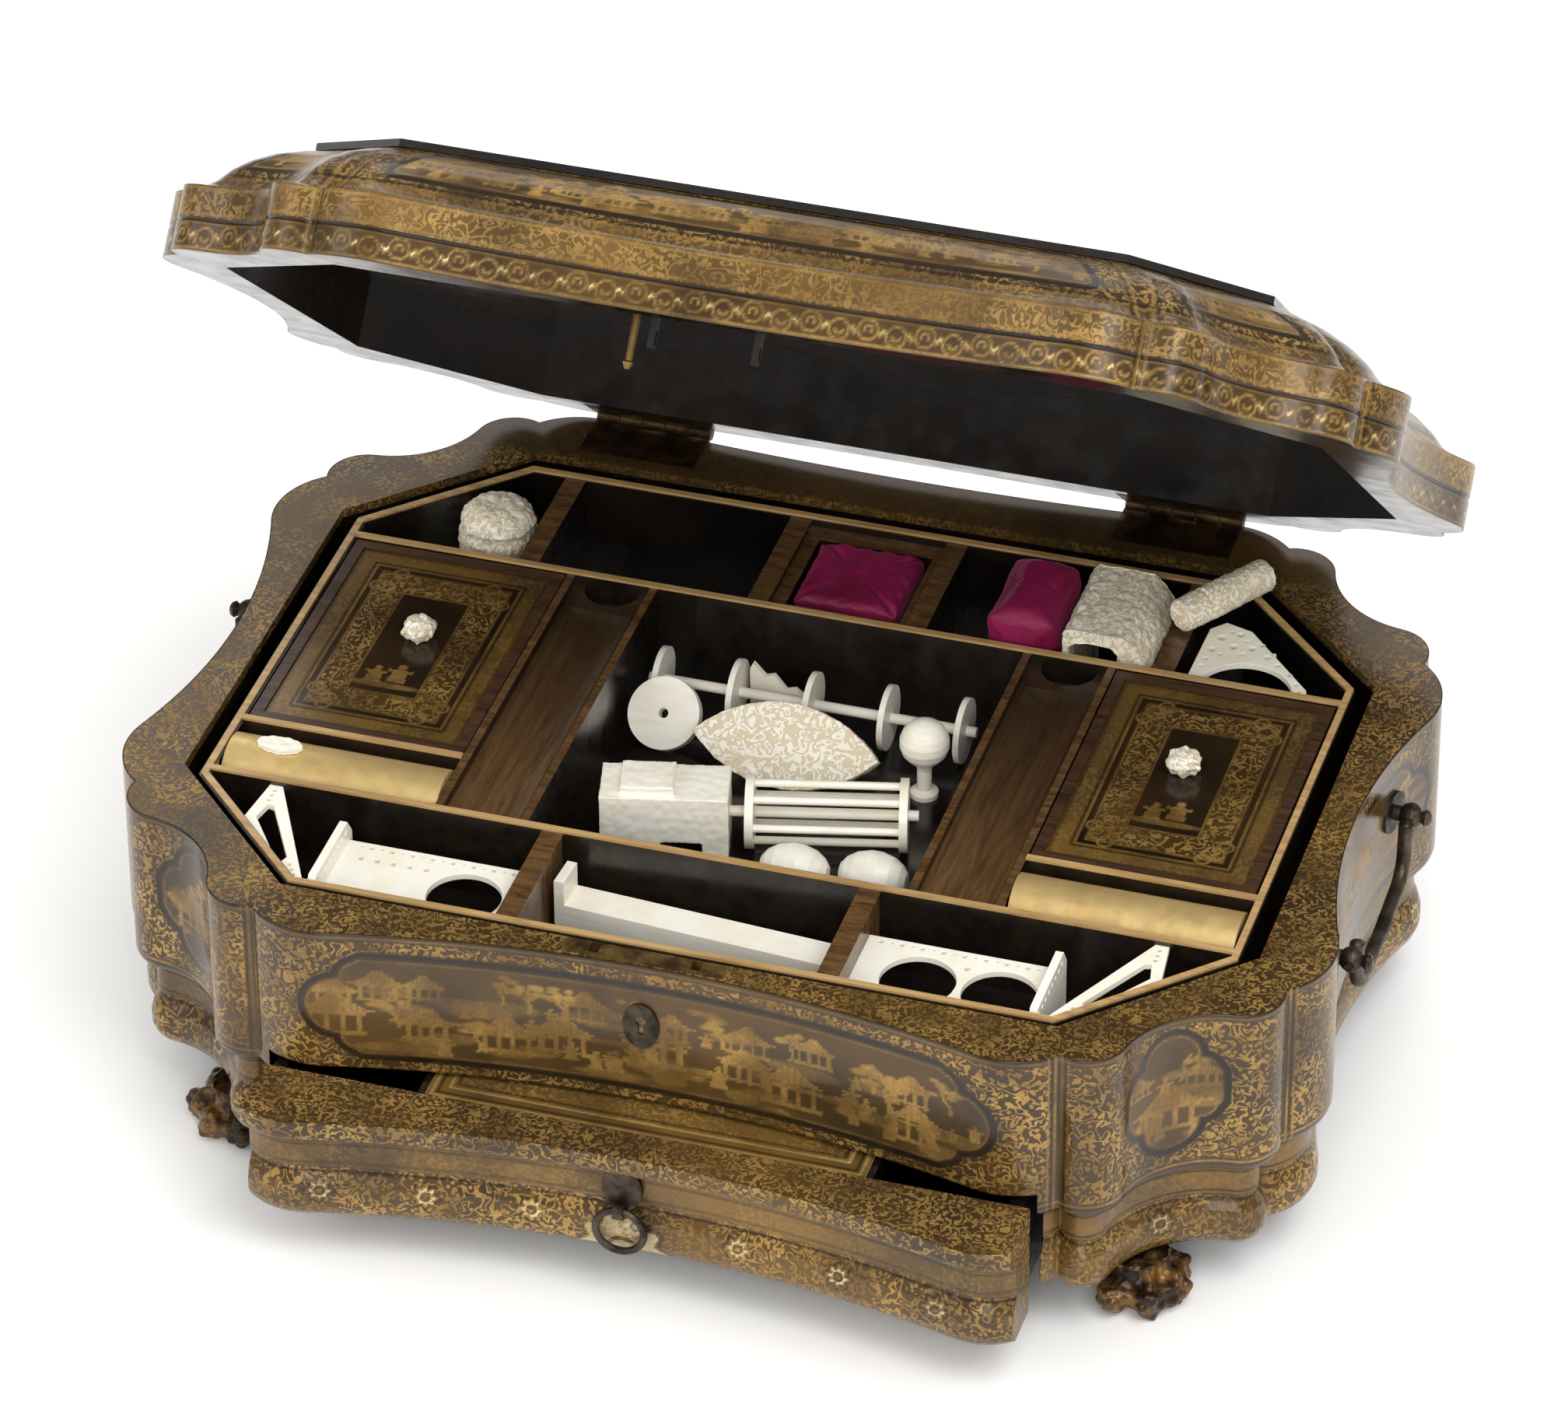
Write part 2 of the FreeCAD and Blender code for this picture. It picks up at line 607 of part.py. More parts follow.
def lock_plate_block():
    return block(LOCK_X - LOCK_HALF_W, LOCK_X + LOCK_HALF_W, -LOCK_PLATE_FRONT, -CAVITY_HALF_D,
                 RIM_TOP - LOCK_PLATE_THICK, RIM_TOP)


def keyhole():
    y0 = -CASE_DEPTH / 2
    y1 = -CAVITY_HALF_D - LOCK_SKIN
    height = ESCUTCHEON_Z + KEYHOLE_R
    top = rod(KEYHOLE_R, vec(LOCK_X, y0, height), vec(LOCK_X, y1, height))
    slot = block(LOCK_X - KEYHOLE_R / 2, LOCK_X + KEYHOLE_R / 2, y0, y1,
                 ESCUTCHEON_Z + KEYHOLE_R - KEYHOLE_DROP, ESCUTCHEON_Z + KEYHOLE_R)
    return top.fuse(slot)


def boards(ring, z0, z1):
    """Eight boards of a ring, parted along lines from the cavity's corners to the outline's notches."""
    notches = [arc[2] for arc in outline()[2::3]]
    corners = [vec(*corner) for corner in octagon(CAVITY_HALF_W, CAVITY_HALF_D, CAVITY_CANT)]
    pieces = []
    for side in range(8):
        outer = [notches[k] * 2 - corners[k] for k in (side, side - 1)]
        wedge = [corners[side - 1], corners[side]] + outer
        pieces += ring.common(prism([(p.x, p.y) for p in wedge], z0, z1)).Solids
    return group(pieces)


def base_moulding():
    ring = case_solid(mould_levels()).cut(cavity(BASE_Z, BAND_Z))
    return boards(ring.cut(drawer_gap()), BASE_Z, BAND_Z)


def belt_band():
    ring = case_solid(band_levels()).cut(cavity(BAND_Z, WALL_Z))
    return boards(ring.cut(drawer_gap()), BAND_Z, WALL_Z)


def case_walls():
    ring = case_solid(wall_levels(RIM_Z)).cut(cavity(WALL_Z, RIM_Z))
    cutters = [drawer_gap(), lock_box(), keyhole()] + knuckle_clearance()
    return boards(ring.cut(cutters), WALL_Z, RIM_Z)


def case_rim():
    ring = upright(RIM_Z, RIM_TOP).cut(cavity(RIM_Z, RIM_TOP))
    cutters = [lock_box(), lock_plate_block()] + knuckle_clearance() + leaf_recess(RIM_TOP - LEAF_THICK)
    return boards(ring.cut(cutters), RIM_Z, RIM_TOP)


def base_board():
    board = cavity(BASE_Z, BASE_BOARD_TOP)
    return board.common(block(-CASE_WIDTH, CASE_WIDTH, DRAWER_STOP_Y, CASE_DEPTH, 0, RIM_TOP))


def drawer_guides():
    x0 = DRAWER_SIDE_X + SIDE_GAP
    room = cavity(BASE_Z, DUST_Z)
    guides = mirrored(x0, x0 + GUIDE_WIDTH, DRAWER_STOP_Y, CAVITY_HALF_D, BASE_BOARD_TOP, DUST_Z)
    return group([guide.common(room) for guide in guides])


def dust_board():
    return cavity(DUST_Z, DUST_TOP)


def tray_ledge():
    return cavity(LEDGE_Z, LEDGE_Z + LEDGE_THICK).cut(cavity(LEDGE_Z, RIM_TOP, LEDGE_WIDTH))


def foot(sx, sy):
    """Claw foot: a round core with four toes fanned out under the corner."""
    x = FOOT_X * sx
    y = FOOT_Y * sy + (BACK_EXTRA if sy > 0 else 0.0)
    core = turned([(0, FOOT_CORE_R - 2), (3, FOOT_CORE_R), (FOOT_HEIGHT, FOOT_CORE_R - 1)], vec(x, y))
    outward = math.degrees(math.atan2(FOOT_Y * sy, FOOT_X * sx))
    slab = block(-CASE_WIDTH, CASE_WIDTH, -CASE_DEPTH, CASE_DEPTH, 0, FOOT_HEIGHT)
    pieces = []
    for toe in range(4):
        angle = math.radians(outward + (toe - 1.5) * TOE_FAN)
        tip = vec(x + TOE_REACH * math.cos(angle), y + TOE_REACH * math.sin(angle), TOE_R - PAD_DROP)
        pieces.append(ball(TOE_R, tip))
        knuckle = vec(x, y, FOOT_HEIGHT - TOE_R / 2)
        pieces.append(rod(TOE_R * 0.62, knuckle, tip))
    return core.fuse(pieces).common(slab).removeSplitter()


def feet():
    return group([foot(sx, sy) for sx in (-1, 1) for sy in (-1, 1)])


def escutcheon():
    height = ESCUTCHEON_HALF_H + 2
    skin = upright(ESCUTCHEON_Z - height, ESCUTCHEON_Z + height, -ESCUTCHEON_THICK)
    skin = skin.cut(upright(ESCUTCHEON_Z - height, ESCUTCHEON_Z + height))
    oval = ellipse_rod(ESCUTCHEON_HALF_W, ESCUTCHEON_HALF_H, vec(LOCK_X, -CASE_DEPTH, ESCUTCHEON_Z),
                       CASE_DEPTH)
    return oval.common(skin).cut(keyhole())


def staple_slots():
    slots = []
    for side in (-1, 1):
        x = LOCK_X + side * STAPLE_SPREAD
        y = -CAVITY_HALF_D - LOCK_DEPTH / 2
        slots.append(block(x - STAPLE_THICK / 2 - STAPLE_GAP, x + STAPLE_THICK / 2 + STAPLE_GAP,
                           y - STAPLE_WIDE / 2 - STAPLE_GAP, y + STAPLE_WIDE / 2 + STAPLE_GAP,
                           RIM_TOP - STAPLE_DROP - 1, RIM_TOP + 1))
    return slots


def lock_case():
    return lock_box().cut([lock_box(LOCK_SKIN)] + staple_slots() + [keyhole()])


def lock_plate():
    return lock_plate_block().cut(staple_slots())


def lock_bolt():
    """Sliding bar with two upright arms and a finger on each, standing beside the slots."""
    y0 = -CAVITY_HALF_D - LOCK_DEPTH / 2 - BOLT_THICK / 2
    y1 = y0 + BOLT_THICK
    floor = RIM_TOP - LOCK_PLATE_THICK - LOCK_HEIGHT + LOCK_SKIN + RUN_GAP
    finger_z = RIM_TOP - STAPLE_DROP + 2.2
    left, right = [LOCK_X + side * STAPLE_SPREAD - STAPLE_THICK / 2 - BOLT_SHY for side in (-1, 1)]
    pieces = [block(left - BOLT_FINGER, right, y0, y1, floor, floor + BOLT_HEIGHT)]
    for x in (left, right):
        pieces.append(block(x - BOLT_FINGER, x - BOLT_FINGER + 2.0, y0, y1, floor, finger_z + 2.0))
        pieces.append(block(x - BOLT_FINGER, x, y0, y1, finger_z, finger_z + 2.0))
    return pieces[0].fuse(pieces[1:]).removeSplitter()


def handle_posts():
    posts = []
    for sx in (-1, 1):
        for sy in (-1, 1):
            centre = vec(sx * POST_HEAD_X, sy * POST_Y, POST_Z)
            inner = vec(0, sy * POST_Y, POST_Z)
            z0, z1 = POST_Z - POST_PLATE_R - 1, POST_Z + POST_PLATE_R + 1
            case = upright(z0, z1)
            skin = upright(z0, z1, -POST_PLATE_THICK).cut(case)
            plate = rod(POST_PLATE_R, inner, centre + vec(sx * POST_HEAD_R, 0, 0)).common(skin)
            start = centre - vec(sx * 3 * POST_R, 0, 0)
            bore = rod(BAIL_PIN_R + BAIL_PIN_GAP, centre - vec(0, 2 * POST_HEAD_R, 0),
                       centre + vec(0, 2 * POST_HEAD_R, 0))
            posts.append(plate.cut(rod(POST_R, inner, centre)))
            posts.append(turned(post_profile(), start, vec(sx, 0, 0)).cut([case, bore]))
    return group(posts)


def post_profile():
    """Stem, round head and small tip of a handle post, from inside the wall outward."""
    middle = 3 * POST_R
    profile = [(0, POST_R), (middle - 0.8 * POST_HEAD_R, POST_R)]
    for step in range(9):
        angle = math.radians(-50 + step * 14)
        profile.append((middle + POST_HEAD_R * math.sin(angle), POST_HEAD_R * math.cos(angle)))
    tip = middle + POST_HEAD_R
    return profile + [(tip + 0.8, POST_TIP_R), (tip + 1.8, POST_TIP_R * 0.8), (tip + 2.4, POST_TIP_R * 0.4)]


def tube(points, radius, bend):
    """Round bar along straight runs joined by tangent arcs of one bend radius."""
    edges = []
    start = points[0]
    for before, corner, after in zip(points, points[1:], points[2:]):
        back = (before - corner).normalize()
        ahead = (after - corner).normalize()
        half = back.getAngle(ahead) / 2
        reach = bend / math.tan(half)
        bisector = (back + ahead).normalize()
        centre = corner + bisector * (bend / math.sin(half))
        enter = corner + back * reach
        leave = corner + ahead * reach
        edges.append(Part.LineSegment(start, enter).toShape())
        edges.append(Part.Arc(enter, centre - bisector * bend, leave).toShape())
        start = leave
    edges.append(Part.LineSegment(start, points[-1]).toShape())
    path = Part.Wire(edges)
    ring = Part.Wire(Part.makeCircle(radius, points[0], points[1] - points[0]))
    return path.makePipeShell([ring], True, False)


def bail(sx):
    """Hanging swing handle: a shallow U with a pin at each end, turned outward through its post."""
    x = sx * POST_HEAD_X
    low = POST_Z - BAIL_DROP
    points = [vec(x, -BAIL_ARM_Y, POST_Z + BAIL_R / 2), vec(x, -BAIL_ARM_Y + 1, low),
              vec(x, 0, low - BAIL_SAG), vec(x, BAIL_ARM_Y - 1, low),
              vec(x, BAIL_ARM_Y, POST_Z + BAIL_R / 2)]
    bar = tube(points, BAIL_R, 8.0)
    pieces = []
    for sy in (-1, 1):
        inner = vec(x, sy * BAIL_ARM_Y, POST_Z)
        pieces.append(rod(BAIL_PIN_R, inner, vec(x, sy * (POST_Y + POST_HEAD_R + 0.6), POST_Z)))
        pieces.append(ball(BAIL_R * 1.02, vec(x, sy * BAIL_ARM_Y, POST_Z)))
    return bar.fuse(pieces)


def hinge_parts(own):
    """Knuckles and leaf tabs whose index is in own, for both hinges, round the hinge axis."""
    step = 2 * HINGE_HALF_LENGTH / KNUCKLES
    parts = {-1: [], 1: []}
    for side in (-1, 1):
        for index in range(KNUCKLES):
            if index not in own:
                continue
            x0 = side * HINGE_X - HINGE_HALF_LENGTH + index * step + KNUCKLE_SPLIT / 2
            x1 = x0 + step - KNUCKLE_SPLIT
            knuckle = rod(KNUCKLE_R, vec(x0, HINGE_Y, HINGE_Z), vec(x1, HINGE_Y, HINGE_Z))
            parts[side].append((x0, x1, knuckle))
    return parts


def hinge_leaves(own, z0):
    """Leaves at height z0 with their own knuckles, bored for the pin."""
    leaves = []
    edge = HINGE_Y - KNUCKLE_R - KNUCKLE_CLEAR
    for side, knuckles in hinge_parts(own).items():
        leaf = block(side * HINGE_X - HINGE_HALF_LENGTH, side * HINGE_X + HINGE_HALF_LENGTH,
                     LEAF_FRONT, edge, z0, z0 + LEAF_THICK)
        tabs = [block(x0, x1, edge - 0.5, HINGE_Y, z0, z0 + LEAF_THICK) for x0, x1, _ in knuckles]
        leaf = leaf.fuse(tabs + [knuckle for _, _, knuckle in knuckles])
        bore = rod(HINGE_PIN_R + HINGE_PIN_GAP, vec(side * HINGE_X - CASE_DEPTH / 2, HINGE_Y, HINGE_Z),
                   vec(side * HINGE_X + CASE_DEPTH / 2, HINGE_Y, HINGE_Z))
        leaves.append(leaf.cut(bore).removeSplitter())
    return leaves


def hinge_leaves_case():
    return group(hinge_leaves((0, 2, 4), RIM_TOP - LEAF_THICK))


def hinge_pins():
    return group([rod(HINGE_PIN_R, vec(side * HINGE_X - HINGE_HALF_LENGTH, HINGE_Y, HINGE_Z),
                      vec(side * HINGE_X + HINGE_HALF_LENGTH, HINGE_Y, HINGE_Z)) for side in (-1, 1)])


def opened(shape):
    """Turn a piece of the closed lid to its rest angle about the hinge axis."""
    shape.rotate(vec(0, HINGE_Y, HINGE_Z), vec(1, 0, 0), -LID_OPEN)
    return shape


def hinge_leaves_lid():
    return opened(group(hinge_leaves((1, 3), LID_Z)))


def lid_frame():
    lip = LID_LINE_DEPTH
    levels = [(LID_Z, 0.0), (LID_Z + LID_LINE - lip, 0.0), (LID_Z + LID_LINE, lip),
              (LID_Z + LID_LINE + lip, 0.0), (LID_CROWN_Z, 0.0)]
    ring = case_solid(levels).cut(cavity(LID_Z, LID_CROWN_Z))
    ring = ring.cut([link_plate_block()] + knuckle_clearance() + leaf_recess(LID_Z))
    return opened(boards(ring, LID_Z, LID_CROWN_Z))


def crown_levels():
    """Height and share of the way from outline to top octagon, up the lid's ogee."""
    shares = [(0.0, 0.02), (0.06, 0.12), (0.18, 0.2), (0.4, 0.3), (0.6, 0.43), (0.78, 0.6), (0.91, 0.8)]
    return [(LID_CROWN_Z + rise * LID_CROWN_HEIGHT, share) for rise, share in shares]


def top_corners(lip=0.0):
    return octagon(LID_TOP_HALF_W + lip, LID_TOP_HALF_D + lip, LID_TOP_CANT, LID_TOP_MID_Y)


def lid_crown():
    arcs = outline(LID_CROWN_LEDGE)
    corners = top_corners()
    straight = octagon_arcs(corners, arcs)
    wires = [wire(mixed(arcs, straight, share), z) for z, share in crown_levels()]
    wires.append(wire(straight, LID_TOP_Z, True))
    body = Part.makeLoft(wires, True, True)
    inner = octagon(LID_TOP_HALF_W, LID_TOP_HALF_D, LID_TOP_CANT, LID_TOP_MID_Y, LID_VOID_INSET)
    void = prism(inner, LID_CROWN_Z, LID_TOP_Z)
    recess = cavity(LID_CROWN_Z, LID_CROWN_Z + LID_LINING_THICK)
    return opened(body.cut([void, recess]))


def lid_top_board():
    return opened(prism(top_corners(LID_TOP_LIP), LID_TOP_Z, LID_TOP_Z + LID_TOP_THICK))


def lid_lining():
    return opened(cavity(LID_CROWN_Z, LID_CROWN_Z + LID_LINING_THICK))


def lid_peg():
    profile = [(0, LID_PEG_R + 0.9), (1.2, LID_PEG_R), (LID_PEG_LENGTH - 2.5, LID_PEG_R * 0.8),
               (LID_PEG_LENGTH - 2, LID_PEG_R * 1.3), (LID_PEG_LENGTH, LID_PEG_R * 0.6)]
    return opened(turned(profile, vec(LID_PEG_X, LID_PEG_Y, LID_CROWN_Z), vec(0, 0, -1)))


def link_plate_block():
    shape = lock_plate_block()
    shape.translate(vec(0, 0, LID_Z - RIM_TOP + LOCK_PLATE_THICK))
    return shape


def lid_link_plate():
    """Plate under the lid's front with two staples that drop into the lock."""
    pieces = []
    eyes = []
    for side in (-1, 1):
        x = LOCK_X + side * STAPLE_SPREAD
        y = -CAVITY_HALF_D - LOCK_DEPTH / 2
        foot_z = RIM_TOP - STAPLE_DROP
        pieces.append(block(x - STAPLE_THICK / 2, x + STAPLE_THICK / 2, y - STAPLE_WIDE / 2,
                            y + STAPLE_WIDE / 2, foot_z, LID_Z + LOCK_PLATE_THICK / 2))
        eyes.append(block(x - STAPLE_THICK, x + STAPLE_THICK, y - BOLT_THICK / 2 - 0.35,
                          y + BOLT_THICK / 2 + 0.35, foot_z + 1.2, foot_z + 5.2))
    return opened(link_plate_block().fuse(pieces).cut(eyes))


def pulled_out(shape):
    shape.translate(vec(0, -DRAWER_OUT, 0))
    return shape


def front_profile():
    return case_solid(mould_levels()).fuse([case_solid(band_levels()), case_solid(wall_levels(RIM_Z))])


def drawer_front():
    window = block(-DRAWER_HALF_W, DRAWER_HALF_W, -CASE_DEPTH, -DRAWER_BACK_FACE, BASE_Z, DRAWER_TOP)
    slices = [case_solid(levels).common(window) for levels in
              (mould_levels(), band_levels(), wall_levels(RIM_Z))]
    return pulled_out(slices[0].fuse(slices[1:]).removeSplitter())


def drawer_sides():
    y0 = -DRAWER_BACK_FACE
    y1 = y0 + DRAWER_LENGTH
    x = DRAWER_SIDE_X
    sides = [block(x - DRAWER_SIDE, x, y0, y1, DRAWER_SIDE_Z, DRAWER_SIDE_TOP),
             block(-x, -x + DRAWER_SIDE, y0, y1, DRAWER_SIDE_Z, DRAWER_SIDE_TOP),
             block(-x + DRAWER_SIDE, x - DRAWER_SIDE, y1 - DRAWER_SIDE, y1, DRAWER_SIDE_Z, DRAWER_SIDE_TOP)]
    return pulled_out(group(sides))


def drawer_inside():
    """Room between front, sides and back: half width, front, back and floor height."""
    return (DRAWER_SIDE_X - DRAWER_SIDE, -DRAWER_BACK_FACE, -DRAWER_BACK_FACE + DRAWER_LENGTH - DRAWER_SIDE,
            DRAWER_SIDE_Z + DRAWER_FLOOR_RISE + DRAWER_FLOOR_THICK)


def drawer_floor():
    half, y0, y1, top = drawer_inside()
    return pulled_out(block(-half, half, y0, y1, top - DRAWER_FLOOR_THICK, top))


def drawer_partitions():
    half, y0, y1, floor = drawer_inside()
    shelf = DRAWER_SIDE_TOP - WRITING_BOARD_THICK
    walls = []
    for side in (-1, 1):
        x = side * PARTITION_X
        wall = block(x - PARTITION_THICK / 2, x + PARTITION_THICK / 2, y0, y1, floor, DRAWER_SIDE_TOP)
        inner = x - side * PARTITION_THICK / 2
        notch = block(min(inner, inner + side * REBATE), max(inner, inner + side * REBATE), y0,
                      y0 + WRITING_BOARD_LENGTH, shelf, DRAWER_SIDE_TOP)
        walls.append(wall.cut(notch))
    return pulled_out(group(walls))


def writing_board():
    half = PARTITION_X - PARTITION_THICK / 2 + REBATE
    y0 = -DRAWER_BACK_FACE
    return pulled_out(block(-half, half, y0, y0 + WRITING_BOARD_LENGTH,
                            DRAWER_SIDE_TOP - WRITING_BOARD_THICK, DRAWER_SIDE_TOP))


def waist_y():
    """Face of the front at its middle, in front of the closed case."""
    return -(CASE_DEPTH / 2 - LONG_HOLLOW)


def pull_plane():
    return waist_y() + BULGE_INSET - PULL_STAND


def pull_plate():
    """Oval plate on the drawer's band, with a bored eye for the ring."""
    plane = pull_plane()
    face = waist_y() + BAND_INSET - PULL_PLATE_STAND
    oval = ellipse_rod(PULL_PLATE_HALF_W, PULL_PLATE_HALF_H,
                       vec(PULL_X, face, PULL_Z + PULL_PLATE_HALF_H - PULL_PLATE_STAND), 8.0)
    front = front_profile()
    plate = oval.cut(front)
    stem = rod(PULL_EYE_R * 0.8, vec(PULL_X, plane, PULL_Z), vec(PULL_X, face + 8.0, PULL_Z)).cut(front)
    eye = rod(PULL_EYE_R, vec(PULL_X - PULL_EYE_LENGTH / 2, plane, PULL_Z),
              vec(PULL_X + PULL_EYE_LENGTH / 2, plane, PULL_Z))
    bore = rod(PULL_EYE_BORE, vec(PULL_X - PULL_EYE_LENGTH, plane, PULL_Z),
               vec(PULL_X + PULL_EYE_LENGTH, plane, PULL_Z))
    solid = plate.fuse([stem, eye]).cut(bore)
    return pulled_out(max(solid.Solids, key=lambda s: s.Volume))


def pull_ring():
    centre = vec(PULL_X, pull_plane(), PULL_Z - PULL_RING_R)
    return pulled_out(Part.makeTorus(PULL_RING_R, PULL_WIRE_R, centre, vec(0, 1, 0)))


def tray_floor():
    return tray_octagon(TRAY_Z, TRAY_FLOOR_TOP)


def tray_walls():
    return tray_octagon(TRAY_FLOOR_TOP, WALL_TOP_IN_TRAY).cut(
        tray_octagon(TRAY_FLOOR_TOP, WALL_TOP_IN_TRAY, TRAY_WALL))


def tray_edging():
    """Pale strips let into the tops of the tray's walls and long dividers."""
    margin = (TRAY_WALL - EDGING_WIDE) / 2
    z0, z1 = WALL_TOP_IN_TRAY, TRAY_TOP
    ring = tray_octagon(z0, z1, margin).cut(tray_octagon(z0, z1, margin + EDGING_WIDE))
    half = TRAY_HALF_W - margin - EDGING_WIDE
    strips = [ring]
    for y in (FRONT_DIVIDER_Y, BACK_DIVIDER_Y):
        strips.append(block(-half, half, y - EDGING_WIDE / 2, y + EDGING_WIDE / 2, z0, z1))
    for x0, x1 in ((-half, -BIN_X0), (BIN_X0, half)):
        strips.append(block(x0, x1, BIN_FRONT_Y - EDGING_WIDE / 2, BIN_FRONT_Y + EDGING_WIDE / 2, z0, z1))
    return group(strips)


def mirrored(x0, x1, y0, y1, z0, z1):
    """The same block on the right and, mirrored, on the left."""
    return [block(x0, x1, y0, y1, z0, z1), block(-x1, -x0, y0, y1, z0, z1)]


def tray_dividers():
    z0, z1 = TRAY_FLOOR_TOP, WALL_TOP_IN_TRAY
    half = DIVIDER_THICK / 2
    walls = []
    for y in (FRONT_DIVIDER_Y, BACK_DIVIDER_Y):
        walls.append(block(-TRAY_SIDE, TRAY_SIDE, y - half, y + half, z0, z1))
    for x in FRONT_CROSS_X:
        walls.append(block(x - CROSS_THICK / 2, x + CROSS_THICK / 2, TRAY_FRONT, ROW_BACK_Y, z0, z1))
    for x in BACK_CROSS_X:
        walls.append(block(x - CROSS_THICK / 2, x + CROSS_THICK / 2, REAR_ROW_Y, TRAY_BACK, z0, z1))
    walls += mirrored(WELL_HALF_W, TROUGH_X0, MIDDLE_FRONT, MIDDLE_BACK, z0, z1)
    walls += mirrored(TROUGH_X1, BIN_X0, MIDDLE_FRONT, MIDDLE_BACK, z0, z1)
    walls += mirrored(BIN_X0, TRAY_SIDE, BIN_FRONT_Y - half, BIN_FRONT, z0, z1)
    ledge_top = TRAY_TOP - BIN_LID_SINK - BIN_LID_THICK - RUN_GAP
    walls += mirrored(BIN_X0, BIN_X0 + BIN_LEDGE, BIN_FRONT, MIDDLE_BACK, z0, ledge_top)
    walls += mirrored(TRAY_SIDE - BIN_LEDGE, TRAY_SIDE, BIN_FRONT, MIDDLE_BACK, z0, ledge_top)
    cleat_top = ROLL_Z - RUN_GAP
    walls += mirrored(BIN_X0, BIN_X0 + CLEAT_WIDE, MIDDLE_FRONT, ROLL_END, z0, cleat_top)
    walls += mirrored(TRAY_SIDE - CLEAT_WIDE, TRAY_SIDE, MIDDLE_FRONT, ROLL_END, z0, cleat_top)
    return group(walls)


def troughs():
    """Two sunk boards with a shallow hollow along them and a round finger scoop at the back."""
    top = TRAY_TOP - TROUGH_SINK
    half = TROUGH_WIDE / 2 - 2.0
    radius = (half ** 2 + TROUGH_HOLLOW ** 2) / (2 * TROUGH_HOLLOW)
    boards = []
    for side in (-1, 1):
        x = side * (TROUGH_X0 + TROUGH_WIDE / 2)
        board = block(x - TROUGH_WIDE / 2, x + TROUGH_WIDE / 2, MIDDLE_FRONT, MIDDLE_BACK,
                      top - TROUGH_THICK, top)
        hollow = rod(radius, vec(x, MIDDLE_FRONT + 2, top - TROUGH_HOLLOW + radius),
                     vec(x, MIDDLE_BACK - 12, top - TROUGH_HOLLOW + radius))
        scoop = rod(SCOOP_R, vec(x, MIDDLE_BACK, top - SCOOP_DEPTH), vec(x, MIDDLE_BACK, top + 1))
        boards.append(board.cut([hollow, scoop]))
    return group(boards)


def bin_lid(side):
    x0 = BIN_X0 + SIDE_GAP
    x1 = TRAY_SIDE - SIDE_GAP
    y0 = BIN_FRONT + SIDE_GAP
    y1 = MIDDLE_BACK - SIDE_GAP
    top = TRAY_TOP - BIN_LID_SINK
    board = block(x0, x1, y0, y1, top - BIN_LID_THICK, top)
    panel = block(x0 + BIN_LID_BORDER, x1 - BIN_LID_BORDER, y0 + BIN_LID_BORDER, y1 - BIN_LID_BORDER,
                  top - BIN_LID_RECESS, top)
    lid = board.cut(panel)
    return lid if side > 0 else lid.mirror(vec(0, 0, 0), vec(1, 0, 0))


def bin_knob(side):
    """Carved knob: a many-sided bud on a short stem."""
    x, y = side * KNOB_X, KNOB_Y
    z = TRAY_TOP - BIN_LID_SINK - BIN_LID_RECESS
    half = KNOB_SIZE / 2
    corners = [(half * s * math.cos(a), half * s * math.sin(a)) for a, s in
               ((math.radians(30 * k + 8), 1.08 if k % 2 else 0.92) for k in range(12))]
    layers = []
    for rise, share in ((0.0, 0.55), (0.2, 0.8), (0.5, 1.0), (0.8, 0.85), (1.0, 0.45)):
        ring = [vec(x + cx * share, y + cy * share, z + rise * KNOB_HEIGHT) for cx, cy in corners]
        layers.append(Part.makePolygon(ring + ring[:1]))
    return Part.makeLoft(layers, True, True)


def roll_cover(side):
    """Half-round gilt cover, hollow below, along the slot in front of a bin."""
    x0 = BIN_X0 + SIDE_GAP
    x1 = TRAY_SIDE - SIDE_GAP
    z = ROLL_Z
    a, b = sorted((side * x0, side * x1))
    outer = rod(ROLL_R, vec(a, ROLL_Y, z), vec(b, ROLL_Y, z))
    inner = rod(ROLL_R - ROLL_WALL, vec(a + ROLL_WALL, ROLL_Y, z), vec(b - ROLL_WALL, ROLL_Y, z))
    above = block(a, b, ROLL_Y - ROLL_R, ROLL_Y + ROLL_R, z, z + ROLL_R)
    return outer.common(above).cut(inner)


def roll_button():
    depth = 5.0
    oval = ellipse_rod(BUTTON_HALF_W, BUTTON_HALF_D, vec(0, 0, 0), depth)
    oval.rotate(vec(0, 0, 0), vec(1, 0, 0), 90)
    oval.translate(vec(BUTTON_X, ROLL_Y, ROLL_Z + ROLL_R + BUTTON_STAND - depth))
    reach = vec(2 * BUTTON_HALF_W, 0, 0)
    middle = vec(BUTTON_X, ROLL_Y, ROLL_Z)
    return oval.cut(rod(ROLL_R, middle - reach, middle + reach))


def rectangle_loft(sections, x0, x1, y0, y1):
    """Pad built up from (z, inset) rectangles."""
    wires = []
    for z, inset in sections:
        corners = [vec(x0 + inset, y0 + inset, z), vec(x1 - inset, y0 + inset, z),
                   vec(x1 - inset, y1 - inset, z), vec(x0 + inset, y1 - inset, z)]
        wires.append(Part.makePolygon(corners + corners[:1]))
    return Part.makeLoft(wires, True, True)


def cushion_bed_z():
    return TRAY_TOP - CUSHION_SINK - CUSHION_BED


